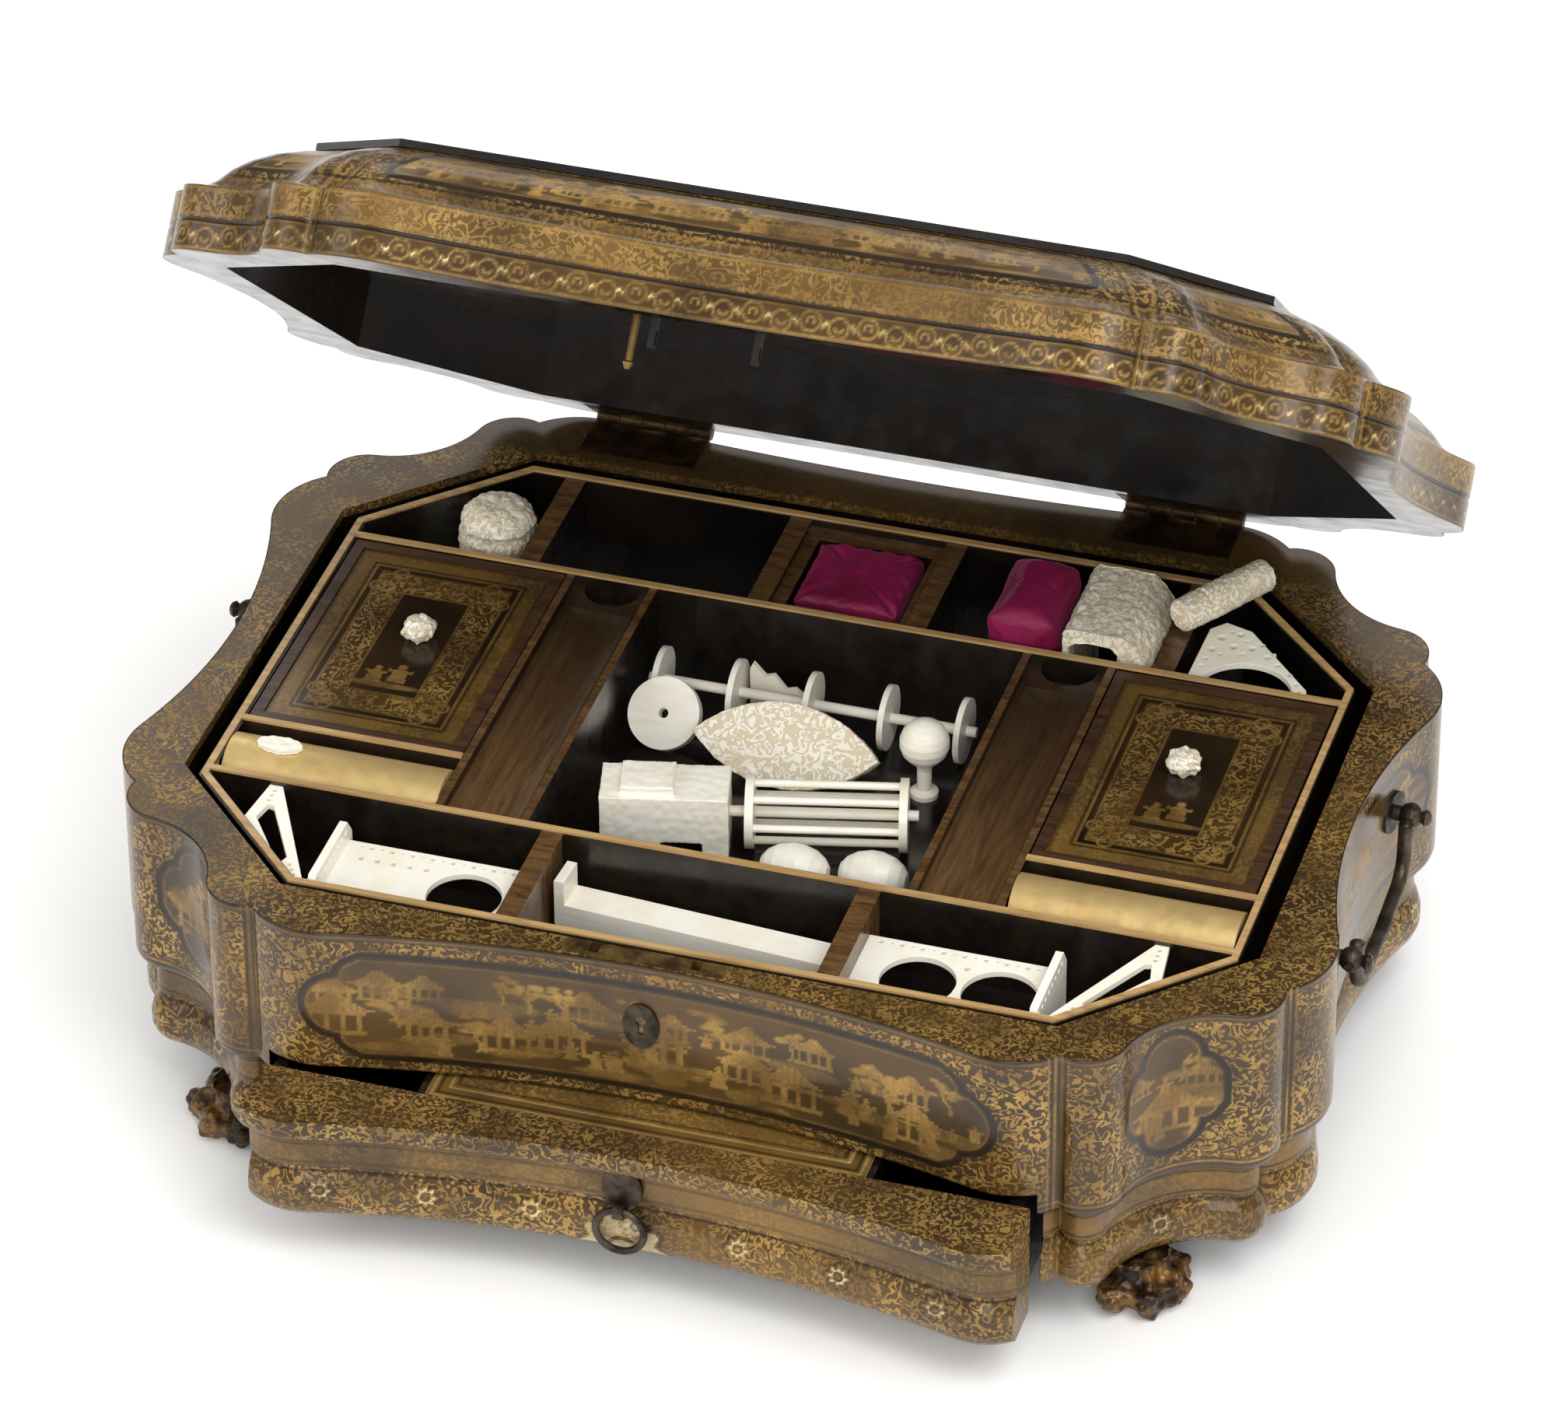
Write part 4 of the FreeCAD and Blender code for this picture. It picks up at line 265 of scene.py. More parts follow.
def panel(u, v, d, half_w, half_h, seed):
    """Paint of a scene panel whose edge is where d is 0, with scrollwork round it."""
    inside = soft(d + 2.2)
    gold = landscape(u, v, half_w, half_h, seed) * inside
    gold = np.maximum(gold, line(d + 2.0, 0.22) * 0.8)
    wash = 0.34 * soft(d + 2.0) + 0.12 * soft(-d)
    ink = np.maximum(line(d, 0.45), 0.8 * line(d - 1.6, 0.2))
    return gold * FULL, soft(-d + 0.8), wash, ink


def edged(paint, u, v, half, low, high):
    """Gold lines along the sides and the top and bottom of a painted field."""
    gold, scroll, ground, ink = paint
    side = np.abs(u) - half
    gold = gilded(gold, (side + 1.3, 0.3), (side + 3.2, 0.2), (v - low - 1.2, 0.3), (v - high + 1.2, 0.2))
    ink = np.maximum(ink, line(side + 2.3, 0.3))
    quiet = np.minimum(np.minimum(-side, v - low), high - v)
    return gold, scroll * soft(2.6 - quiet), ground, ink


def paint_wall(side, u, v, half):
    """A scene panel on each side: long, shorter at the ends, upright on the corners."""
    mid, rise = 76.5, 18.5
    if side in (0, 4):
        paint = panel(u, v - mid, lobed(u, v - mid, 104, rise), 98, rise, 10 + side)
    elif side in (2, 6):
        paint = panel(u, v - mid, lobed(u, v - mid, 58, rise), 52, rise, 20 + side)
    else:
        paint = panel(u, v - mid, lobed(v - mid, u, rise + 3, 17), 15, rise, 30 + side)
    return edged(paint, u, v, half, 48.5, RIM_TOP)


def paint_band(side, u, v, half):
    """Satin gold belt between dark lines."""
    one = np.ones_like(u)
    ink = line(v - BAND_Z - 1.9, 0.3) + line(v - WALL_Z + 1.9, 0.3)
    return one * 0, one * 0.25, one * 0.85, ink


def paint_mould(side, u, v, half):
    """Fine scroll with rosettes along the rounded moulding."""
    one = np.ones_like(u)
    gold, ink = 0 * one, line(v - 31.2, 0.3)
    step, mid = 31.0, 26.0
    for k in range(-4, 5):
        if abs(k * step) < half - 10:
            ring = np.hypot(u - k * step, (v - mid) * 1.1)
            petals = ring - 3.0 - 0.7 * np.cos(8 * np.arctan2(v - mid, u - k * step))
            gold = np.maximum(gold, (soft(petals) - soft(ring - 1.3)) * PALE)
            ink = np.maximum(ink, np.maximum(line(petals - 0.9, 0.35), line(ring - 1.3, 0.3)))
    return gold, one, one * 0.45, ink


def curls(u, v, mid, reach, step):
    """Row of large scrolls, each a double ring with a leaf, turned up and down in turn."""
    k = np.round(u / step)
    x = u - k * step
    y = (v - mid) * np.where(k % 2, 1, -1) - 0.12 * reach
    ring = np.hypot(x, y)
    gold = np.maximum(line(ring - 0.62 * reach, 0.3), line(ring - 0.25 * reach, 0.35) * (y > -0.1 * reach))
    leaf = np.hypot((np.abs(x) - 0.5 * step) * 0.9, y + 0.2 * reach) - 0.24 * reach
    return np.maximum(gold, soft(leaf))


def paint_lid_edge(side, u, v, half):
    """Two bands parted by the dark line, the upper one brighter."""
    lower = soft(v - LID_Z - 8.4)
    upper = soft(LID_Z + 9.8 - v)
    gold = curls(u, v, LID_Z + 4.4, 4.6, 8.4) * lower * PALE
    gold = gilded(gold, (v - (LID_Z + 0.8), 0.3), (v - (LID_Z + 8.0), 0.2), (v - (LID_Z + 10.6), 0.2),
                  (v - (CROWN_Z - 0.9), 0.3), (np.abs(u) - half + 1.2, 0.35))
    ink = line(np.abs(u) - half + 2.4, 0.3)
    return gold, upper * 0.8, upper * 0.75 + lower * 0.3, ink


def paint_crown(side, u, v, half):
    """v is 0 at the foot of the lid's dome and 1 at its top board; w is about millimetres up the dome."""
    w = v * 44.0
    up = w - 26
    a = half - 9 - 0.22 * w
    if side % 2:
        paint = panel(u, up, rounded(u, up, np.maximum(a, 3), 12, 3), 16, 11, 50 + side)
    else:
        paint = panel(u, up, rounded(u, up, a, 13, 5), half - 14, 12, 60 + side)
    gold, scroll, ground, ink = paint
    notch = np.abs(u) - half + 0.1 * w
    gold = gilded(gold, (w - 2.0, 0.35), (w - 9.0, 0.25), (w - 42.0, 0.35), (notch + 1.6, 0.4))
    ink = np.maximum(ink, np.maximum(line(notch + 3.0, 0.35), line(w - 10.2, 0.4)))
    foot = soft(w - 9.0, 1.0)
    return gold, scroll * (1 - foot) * 0.9 + 0.5 * foot, ground + 0.35 * foot, ink


def paint_drawer(side, u, v, half):
    """The drawer's front carries the case's mouldings, with a pale half rosette under the ring."""
    gold, scroll, ground, ink = (np.where(v < BAND_Z, a, b) for a, b in
                                 zip(paint_mould(side, u, v, half), paint_band(side, u, v, half)))
    top = soft(47.0 - v, 0.4)
    scroll = np.maximum(scroll, top)
    ground = ground * (1 - top) + 0.3 * top
    if side == 0:
        along, up = u + 4.0, v - 16.5
        ring = np.hypot(along, up * 0.95)
        petals = ring - 12.0 - 1.3 * np.cos(10 * np.arctan2(up, along))
        gold = np.maximum(gold, (soft(petals) - line(ring - 4.5, 0.4)) * PALE)
        ink = np.maximum(ink, line(petals - 1.0, 0.4))
    return gold, scroll, ground, ink


# Meshes

def linked(obj):
    bpy.context.scene.collection.objects.link(obj)
    return obj


def mesh_object(name, vertices, faces, paint=None):
    """Smooth mesh object from millimetre points, with an optional paint attribute."""
    data = bpy.data.meshes.new(name)
    data.from_pydata((np.asarray(vertices) * MM).tolist(), [], faces)
    if paint is not None:
        layer = data.attributes.new("paint", "FLOAT_COLOR", "POINT")
        colour = np.ones((len(vertices), 4), np.float32)
        colour[:] = np.clip(paint, 0, 1)
        layer.data.foreach_set("color", colour.ravel())
    data.shade_smooth()
    return linked(bpy.data.objects.new(name, data))


def grid_faces(rows, columns, start=0):
    i = np.arange(rows - 1)[:, None] * columns + np.arange(columns - 1)[None, :] + start
    return np.stack([i, i + 1, i + columns + 1, i + columns], -1).reshape(-1, 4).tolist()


def level_list(levels, spacing=GRID):
    """Heights and insets between the given (z, inset) levels, close enough for paint."""
    z, inset = np.array(levels, float).T
    length = np.concatenate([[0], np.cumsum(np.hypot(np.diff(z), np.diff(inset)))])
    at = np.unique(np.concatenate([np.linspace(0, length[-1], max(3, int(length[-1] / spacing))), length]))
    return np.interp(at, length, z), np.interp(at, length, inset)


def skin(name, sides_at, heights, painter, chosen=range(8), up_values=None):
    """Painted skin round the case: sides_at(level's number) gives eight arrays of points."""
    vertices, faces, paints = [], [], []
    count = 0
    rows = [sides_at(k) for k in range(len(heights))]
    middle = rows[len(rows) // 3]
    for side in chosen:
        step = np.concatenate([[0], np.cumsum(np.linalg.norm(np.diff(middle[side], axis=0), axis=1))])
        half = step[-1] / 2
        u = np.tile(step - half, (len(heights), 1))
        v = np.tile(np.array(heights if up_values is None else up_values)[:, None], (1, len(step)))
        points = np.stack([np.column_stack([row[side], np.full(len(step), z)])
                           for row, z in zip(rows, heights)])
        masks = [np.broadcast_to(mask, u.shape) for mask in painter(side, u, v, half)]
        paints.append(np.stack(masks, -1).reshape(-1, 4))
        vertices.append(points.reshape(-1, 3))
        faces += grid_faces(len(heights), len(step), count)
        count += points.shape[0] * points.shape[1]
    return mesh_object(name, np.concatenate(vertices), faces, np.concatenate(paints))


def profile_skin(name, levels, painter, chosen=range(8)):
    z, inset = level_list(levels)
    return skin(name, lambda k: outline(inset[k] - SKIN), z, painter, chosen)


def edit(obj, action):
    bm = bmesh.new()
    bm.from_mesh(obj.data)
    action(bm)
    bm.to_mesh(obj.data)
    bm.free()


def weld(obj):
    edit(obj, lambda bm: bmesh.ops.remove_doubles(bm, verts=bm.verts, dist=0.02 * MM))


def slice_along(bm, spot, normal, trim=False):
    """Split the faces along the plane through spot, and drop what is beyond it if trim is set."""
    everything = bm.verts[:] + bm.edges[:] + bm.faces[:]
    bmesh.ops.bisect_plane(bm, geom=everything, plane_co=[c * MM for c in spot], plane_no=normal, dist=1e-6,
                           clear_outer=trim)


def in_drawer_gap(c):
    return abs(c.x) < DRAWER_GAP_HALF_W and c.y < -100 and c.z < DRAWER_GAP_TOP


def open_for_drawer(obj):
    def action(bm):
        slice_along(bm, (-DRAWER_GAP_HALF_W, 0, 0), (1, 0, 0))
        slice_along(bm, (DRAWER_GAP_HALF_W, 0, 0), (1, 0, 0))
        slice_along(bm, (0, 0, DRAWER_GAP_TOP), (0, 0, 1))
        gone = [f for f in bm.faces if in_drawer_gap(f.calc_center_median() / MM)]
        bmesh.ops.delete(bm, geom=gone, context="FACES")
    edit(obj, action)


def thicken(obj):
    modifier = obj.modifiers.new("sheet", "SOLIDIFY")
    modifier.thickness = SKIN_THICK * MM
    modifier.offset = -1


# Mouldings as (height, inset) levels
MOULD = [(0.0, 5.6), (0.1, 4.3), (0.26, 3.3), (0.5, 3.3), (0.7, 4.2), (0.86, 5.8), (0.94, 6.5), (1.0, 6.5)]
MOULD_LEVELS = [(BASE_Z + share * (BAND_Z - BASE_Z), inset) for share, inset in MOULD]
BAND_LEVELS = [(BAND_Z, 6.5), (BAND_Z + 0.5, 5.6), (WALL_Z - 0.5, 5.6), (WALL_Z, 6.5)]
FOOT = ((0, 6.5), (0.14, 3.9), (0.4, 1.82), (0.7, 0.46), (1, 0))
WALL_FOOT = [(WALL_Z + share * OVOLO, inset) for share, inset in FOOT]
LID_EDGE_LEVELS = [(LID_Z, 0), (LID_Z + 8.4, 0), (LID_Z + 9, 0.6), (LID_Z + 9.6, 0), (CROWN_Z, 0)]


def case_skins():
    made = []
    for name, levels, painter in (("wall_skin", WALL_FOOT + [(RIM_TOP, 0)], paint_wall),
                                  ("band_skin", BAND_LEVELS, paint_band),
                                  ("mould_skin", MOULD_LEVELS, paint_mould)):
        obj = profile_skin(name, levels, painter)
        weld(obj)
        open_for_drawer(obj)
        thicken(obj)
        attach(obj, "case")
        made.append(obj)
    return made


def drawer_skin():
    levels = MOULD_LEVELS + BAND_LEVELS[1:] + WALL_FOOT[1:] + [(DRAWER_TOP, 0)]
    obj = profile_skin("drawer_skin", levels, paint_drawer, (0, 1, 7))
    weld(obj)

    def action(bm):
        for side in (-1, 1):
            slice_along(bm, (side * DRAWER_HALF_W, 0, 0), (side, 0, 0), trim=True)
        slice_along(bm, (0, -DRAWER_BACK_FACE, 0), (0, 1, 0), trim=True)
    edit(obj, action)
    obj.data.transform(Matrix.Translation((0, -DRAWER_OUT * MM, 0)))
    thicken(obj)
    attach(obj, "drawer")
    return obj


def opened(obj):
    """Turn a piece of the closed lid to its rest angle."""
    pivot = Matrix.Translation((0, HINGE_Y * MM, HINGE_Z * MM))
    obj.data.transform(pivot @ Matrix.Rotation(-math.radians(LID_OPEN), 4, "X") @ pivot.inverted())
    return obj


# The dome's profile: share of its height and share of the way in to the top board
CROWN = ((0.0, 0.02), (0.06, 0.12), (0.18, 0.2), (0.4, 0.3),
         (0.6, 0.43), (0.78, 0.6), (0.91, 0.8), (1.0, 1.0))


def crown_skin():
    ledge = outline(2.0 - SKIN)
    top = on_octagon(ledge, octagon(TOP_HALF_W + SKIN, TOP_HALF_D + SKIN, TOP_CANT, TOP_MID_Y))
    rise, share = np.array(CROWN).T
    at = np.linspace(0, 1, 56)
    place = np.concatenate([[0], np.cumsum(np.hypot(np.diff(rise) * 18.0, np.diff(share) * 34))])
    rises = np.interp(at, place / place[-1], rise)
    shares = np.interp(at, place / place[-1], share)
    heights = CROWN_Z + rises * (LID_TOP_Z - CROWN_Z) + SKIN * 0.5
    sides_at = lambda k: [a * (1 - shares[k]) + b * shares[k] for a, b in zip(ledge, top)]
    obj = skin("crown_skin", sides_at, heights, paint_crown, up_values=at)
    weld(obj)
    thicken(opened(obj))
    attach(obj, "lid")
    return obj


def flat_skin(name, half_w, half_d, cant, z, painter, centre=(0, 0), spacing=GRID):
    """Painted sheet over an octagon or a rectangle."""
    xs = np.linspace(-half_w, half_w, int(2 * half_w / spacing))
    ys = np.linspace(-half_d, half_d, int(2 * half_d / spacing))
    u, v = np.meshgrid(xs, ys)
    paint = np.stack(painter(u, v), -1).reshape(-1, 4)
    points = np.stack([u + centre[0], v + centre[1], np.full_like(u, z)], -1).reshape(-1, 3)
    obj = mesh_object(name, points, grid_faces(len(ys), len(xs)), paint)
    if cant:
        def action(bm):
            for sx in (-1, 1):
                for sy in (-1, 1):
                    spot = (centre[0] + sx * (half_w - cant), centre[1] + sy * half_d, 0)
                    slice_along(bm, spot, (sx, sy, 0), trim=True)
        edit(obj, action)
    thicken(obj)
    return obj


def paint_lid_top(u, v):
    straight = rounded(u, v, TOP_HALF_W, TOP_HALF_D, 1)
    edge = np.maximum(straight, (np.abs(u) + np.abs(v) - (TOP_HALF_W + TOP_HALF_D - TOP_CANT)) / 1.414)
    border = np.maximum(lobed(u, v, 112, 76), edge + 18)
    gold, scroll, ground, ink = panel(u, v, border, 106, 74, 71)
    for k, base in enumerate((-52, -18, 20)):
        gold = np.maximum(gold, FULL * landscape(u, v - base, 96, 19, 80 + k) * soft(border + 5))
    gold = gilded(gold, (edge + 2.0, 0.4), (edge + 4.0, 0.2), (edge + 13.0, 0.35))
    return gold, scroll * soft(edge + 3.0), ground, ink


def paint_bin_lid(u, v):
    """Brown border, a pale line at its edge, a scroll frame and a small scene by the knob."""
    edge = rounded(u, v, 32.0, 46.6, 0.5)
    border = soft(-edge - 9.0)
    frame_d = np.abs(edge + 16.5) - 4.4
    gold = gilded(line(edge + 1.3, 0.35) * PALE, (edge + 9.2, 0.2), (frame_d - 0.4, 0.2))
    for sx in (-1, 1):
        for sy in (-1, 1):
            for x, y, r in ((17, 31, 3.0), (14.5, 34.5, 2.2), (19.5, 27.5, 2.2)):
                gold = np.maximum(gold, line(np.hypot(u - sx * x, v - sy * y) - r, 0.3) * PALE)
    people = 0.9 * figure(u, v, 2, -19, 9) + 0.8 * figure(u, v, -5, -20, 8)
    people = people + 0.6 * disc(u, v, -1, -21, 11, 1.4)
    gold = np.maximum(gold, people * FULL)
    ink = np.maximum(line(edge + 8.2, 0.4), line(edge + 3.0, 0.25))
    return np.clip(gold, 0, 1), soft(frame_d, 1.0) + 0.25 * border, 0.8 * border, ink


def paint_board(u, v):
    """Writing board: brown gilt ground with two pale lines round it."""
    edge = rounded(u, v, 65.6, 75.0, 0.5)
    gold = np.maximum(line(edge + 1.6, 0.6), line(edge + 6.2, 0.55)) * PALE
    ink = np.maximum(line(edge + 3.2, 0.4), line(edge + 7.8, 0.4))
    return gold, 0.45 * soft(edge + 7.0), np.full_like(u, 0.72), ink


# Materials

class Graph:
    """A node material under construction."""

    def __init__(self, name, **shader):
        self.material = bpy.data.materials.new(name)
        self.material.use_nodes = True
        self.tree = self.material.node_tree
        self.shader = self.tree.nodes["Principled BSDF"]
        for key, value in shader.items():
            self.shader.inputs[key.replace("_", " ")].default_value = value
        self.coords = self.tree.nodes.new("ShaderNodeTexCoord").outputs["Object"]

    def add(self, kind, inputs, output=0, **props):
        node = self.tree.nodes.new("ShaderNode" + kind)
        for key, value in props.items():
            setattr(node, key, value)
        for key, value in inputs.items():
            if isinstance(value, bpy.types.NodeSocket):
                self.tree.links.new(value, node.inputs[key])
            else:
                node.inputs[key].default_value = value
        return node.outputs[output]

    def math(self, operation, *values):
        return self.add("Math", dict(enumerate(values)), operation=operation)

    def step(self, value, low, high, a=0.0, b=1.0):
        inputs = {"Value": value, "From Min": low, "From Max": high, "To Min": a, "To Max": b}
        return self.add("MapRange", inputs, interpolation_type="SMOOTHSTEP")

    def noise(self, scale, detail=3.0, roughness=0.55, distortion=0.0, stretch=(1, 1, 1)):
        vector = self.add("Mapping", {"Vector": self.coords, "Scale": stretch})
        return self.add("TexNoise", {"Vector": vector, "Scale": scale, "Detail": detail,
                                     "Roughness": roughness, "Distortion": distortion})

    def cells(self, scale):
        return self.add("TexVoronoi", {"Vector": self.coords, "Scale": scale}, feature="F1")

    def along(self, axis):
        return self.add("SeparateXYZ", {"Vector": self.coords}, axis)

    def mix(self, factor, a, b):
        return self.add("Mix", {0: factor, 6: a, 7: b}, 2, data_type="RGBA")

    def set(self, key, value):
        self.tree.links.new(value, self.shader.inputs[key])

    def colour(self, value):
        self.set("Base Color", value)

    def rough(self, scale, detail, low, high):
        self.set("Roughness", self.step(self.noise(scale, detail), 0.3, 0.7, low, high))

    def bump(self, height, distance, strength=1.0):
        self.set("Normal", self.add("Bump", {"Height": height, "Distance": distance, "Strength": strength}))


def rgb(r, g, b):
    return (r, g, b, 1.0)


DARK = rgb(0.010, 0.0065, 0.004)
BROWN = rgb(0.035, 0.019, 0.008)
WASH = rgb(0.125, 0.073, 0.024)
GOLD = rgb(0.50, 0.30, 0.080)
OLD_GOLD = rgb(0.235, 0.130, 0.031)
PALE_GOLD = rgb(0.74, 0.60, 0.33)


def scroll_mask(g, scale, loops=5.0, width=0.13):
    """Curling gold lines: contours of a smooth noise, with small leaves between them."""
    field = g.noise(scale, 1.0, 0.4, 0.6)
    wave = g.math("FRACT", g.math("MULTIPLY", field, loops))
    lines = g.step(g.math("ABSOLUTE", g.math("SUBTRACT", wave, 0.5)), width, width + 0.07, 1.0, 0.0)
    leaves = g.step(g.cells(scale * 1.9), 0.28, 0.36, 1.0, 0.0)
    return g.math("MAXIMUM", lines, leaves)


def lacquer(name, scale=250.0, painted=True, ground=0.0, scroll=1.0, gloss=0.2, painted_back_shade=False):
    """Gold on dark lacquer. The paint attribute says where gold, scrollwork, gilt ground and ink lie; without
    it, scroll and ground hold all over. With the back flag set, painted shade fades the gold along the back."""
    g = Graph(name, Coat_Weight=0.14, Coat_Roughness=0.14, Specular_IOR_Level=0.4)
    fine_scroll = scroll_mask(g, scale)
    if painted:
        paint = g.add("Attribute", {}, 0, attribute_name="paint").node
        parts = g.add("SeparateColor", {"Color": paint.outputs["Color"]}, 0).node
        red, green, blue = parts.outputs
        ink = paint.outputs["Alpha"]
    else:
        red, green, blue, ink = 0.0, scroll, ground, 0.0
    rubbed = g.step(g.noise(38.0, 5.0, 0.65), 0.3, 0.62, 0.5, 1.0)
    fine = g.step(g.noise(900.0, 2.0, 0.6), 0.3, 0.7, 0.6, 1.0)
    worn = g.math("MULTIPLY", rubbed, fine)
    if painted_back_shade:
        # painted shade: the gold fades along the back of the rim, under the open lid, so worn holds wear and
        # painted shade from here on
        worn = g.math("MULTIPLY", worn, g.step(g.along(1), 0.110, 0.118, 1.0, 0.12))
    drawn = g.math("MULTIPLY", g.math("MAXIMUM", g.math("MULTIPLY", fine_scroll, green), red), worn)
    wash = g.math("MULTIPLY", g.math("MAXIMUM", blue, g.math("MULTIPLY", green, 0.3)), rubbed)
    under = g.mix(g.step(g.noise(25.0, 4.0), 0.3, 0.7), DARK, BROWN)
    under = g.mix(wash, under, g.mix(g.step(g.noise(18.0, 3.0), 0.35, 0.65), WASH, OLD_GOLD))
    metal_colour = g.mix(g.step(g.noise(60.0, 3.0), 0.35, 0.65), OLD_GOLD, GOLD)
    metal_colour = g.mix(g.step(red, 0.92, 0.98), metal_colour, PALE_GOLD)
    colour = g.mix(drawn, under, metal_colour)
    g.colour(g.mix(g.math("MULTIPLY", ink, 0.85), colour, DARK))
    amount = g.math("MAXIMUM", drawn, g.math("MULTIPLY", wash, 0.6))
    g.set("Metallic", g.math("MULTIPLY", amount, 0.45))
    g.set("Roughness", g.step(amount, 0.0, 1.0, gloss, gloss + 0.22))
    g.bump(g.math("ADD", amount, g.math("MULTIPLY", g.noise(120.0, 2.0), 0.5)), 0.00012, 0.6)
    return g.material


def black_lacquer():
    g = Graph("black_lacquer", Coat_Weight=0.5, Coat_Roughness=0.1)
    cloud = g.step(g.noise(18.0, 5.0), 0.35, 0.7)
    g.colour(g.mix(cloud, rgb(0.004, 0.0035, 0.003), rgb(0.014, 0.009, 0.006)))
    g.rough(90.0, 4.0, 0.16, 0.32)
    g.bump(g.noise(45.0, 3.0), 0.0002, 0.3)
    return g.material


def divider_wood():
    """Dividers: black lacquered faces under a brown top, and brown cross dividers in the front row."""
    g = Graph("divider", Coat_Weight=0.35, Coat_Roughness=0.16)
    grain = g.step(g.noise(28.0, 6.0, 0.7, 0.8, (3, 14, 3)), 0.3, 0.7)
    brown = g.mix(grain, rgb(0.055, 0.026, 0.010), rgb(0.16, 0.085, 0.032))
    black = g.mix(grain, rgb(0.005, 0.004, 0.003), rgb(0.016, 0.010, 0.006))
    normal = g.add("NewGeometry", {}, 0).node.outputs["Normal"]
    up = g.add("SeparateXYZ", {"Vector": normal}, 2)
    front = g.step(g.along(1), -0.0700, -0.0694, 1.0, 0.0)
    g.colour(g.mix(g.math("MAXIMUM", g.step(up, 0.4, 0.6), front), black, brown))
    g.rough(120.0, 3.0, 0.22, 0.4)
    g.bump(g.noise(160.0, 3.0, 0.6, 0.0, (3, 14, 3)), 0.0001, 0.5)
    return g.material


def wood(name, dark, light, along=(1, 14, 14), gloss=0.35):
    g = Graph(name, Coat_Weight=0.25, Coat_Roughness=0.25)
    grain = g.noise(28.0, 6.0, 0.7, 0.8, along)
    pores = g.noise(160.0, 3.0, 0.6, 0.0, along)
    g.colour(g.mix(g.step(grain, 0.3, 0.7), dark, light))
    g.set("Roughness", g.step(pores, 0.3, 0.7, gloss, gloss + 0.2))
    g.bump(pores, 0.00012, 0.6)
    return g.material


def gilt(name, colour, dark, low=0.38, high=0.7):
    g = Graph(name, Metallic=0.55, Coat_Weight=0.2, Coat_Roughness=0.2)
    worn = g.step(g.noise(70.0, 6.0, 0.7), low, high)
    g.colour(g.mix(worn, colour, dark))
    g.rough(200.0, 3.0, 0.3, 0.5)
    g.bump(g.noise(140.0, 4.0), 0.00015, 0.6)
    return g.material


def trough_wood():
    """Brown boards, lighter towards the front: painted shade darkens them towards the back, under the open
    lid.
    """
    g = Graph("trough", Coat_Weight=0.3, Coat_Roughness=0.2)
    grain = g.step(g.noise(28.0, 6.0, 0.7, 0.8, (14, 1, 14)), 0.3, 0.7)
    place = g.math("ADD", g.along(1), g.math("MULTIPLY", g.noise(30.0, 2.0), 0.04))
    # painted shade: the boards go dark towards the back, where the open lid shades the tray
    light = g.step(place, -0.06, 0.08, 1.0, 0.15)
    brown = g.mix(grain, rgb(0.075, 0.037, 0.014), rgb(0.17, 0.092, 0.036))
    g.colour(g.mix(light, rgb(0.022, 0.012, 0.006), brown))
    g.rough(150.0, 3.0, 0.28, 0.45)
    g.bump(g.noise(160.0, 3.0, 0.6, 0.0, (14, 1, 14)), 0.0001, 0.5)
    return g.material


def bone():
    """Carved bone: warm white, with painted shade darkening its hollows, and fine carving all over."""
    g = Graph("carved_bone", Subsurface_Weight=0.1, Subsurface_Scale=0.002, Coat_Weight=0.08)
    relief = scroll_mask(g, 300.0, 4.0, 0.2)
    tone = g.mix(g.step(g.noise(55.0, 4.0), 0.35, 0.7), rgb(0.95, 0.91, 0.80), rgb(0.88, 0.81, 0.65))
    # painted shade: the hollows between the carved lines take the darker colour
    g.colour(g.mix(relief, rgb(0.72, 0.61, 0.42), tone))
    g.rough(120.0, 3.0, 0.34, 0.5)
    g.bump(g.math("ADD", relief, g.math("MULTIPLY", g.noise(500.0, 2.0), 0.4)), 0.0003, 0.7)
    return g.material


def plain_bone():
    """Smooth turned or sawn bone with a faint grain."""
    g = Graph("plain_bone", Subsurface_Weight=0.12, Subsurface_Scale=0.002, Coat_Weight=0.15)
    grain = g.noise(60.0, 5.0, 0.6, 0.3, (1, 1, 8))
    g.colour(g.mix(g.step(grain, 0.35, 0.7), rgb(0.96, 0.93, 0.84), rgb(0.90, 0.83, 0.68)))
    g.rough(150.0, 3.0, 0.3, 0.46)
    g.bump(g.noise(300.0, 3.0), 0.0001, 0.5)
    return g.material


def metal(name, colour, dark, rough=0.35):
    g = Graph(name, Metallic=0.85)
    patina = g.step(g.noise(110.0, 5.0, 0.65), 0.35, 0.65)
    g.colour(g.mix(patina, colour, dark))
    g.rough(260.0, 3.0, rough, rough + 0.22)
    g.bump(g.noise(300.0, 4.0), 0.0002, 0.5)
    return g.material


def silk():
    g = Graph("silk", Sheen_Weight=0.25, Sheen_Roughness=0.3, Specular_IOR_Level=0.35)
    g.shader.inputs["Sheen Tint"].default_value = rgb(0.9, 0.35, 0.6)
    weave = g.math("ADD", g.noise(900.0, 1.0, 0.5, 0.0, (1, 6, 1)), g.noise(900.0, 1.0, 0.5, 0.0, (6, 1, 1)))
    tone = g.step(g.noise(45.0, 4.0), 0.3, 0.7)
    g.colour(g.mix(tone, rgb(0.155, 0.004, 0.038), rgb(0.29, 0.012, 0.078)))
    g.set("Roughness", g.step(weave, 0.7, 1.3, 0.35, 0.6))
    g.bump(weave, 0.00012, 0.5)
    return g.material


def floor_material():
    g = Graph("floor", Roughness=0.6)
    g.colour(g.mix(g.noise(2.0, 2.0), rgb(0.95, 0.95, 0.95), rgb(0.97, 0.97, 0.97)))
    return g.material


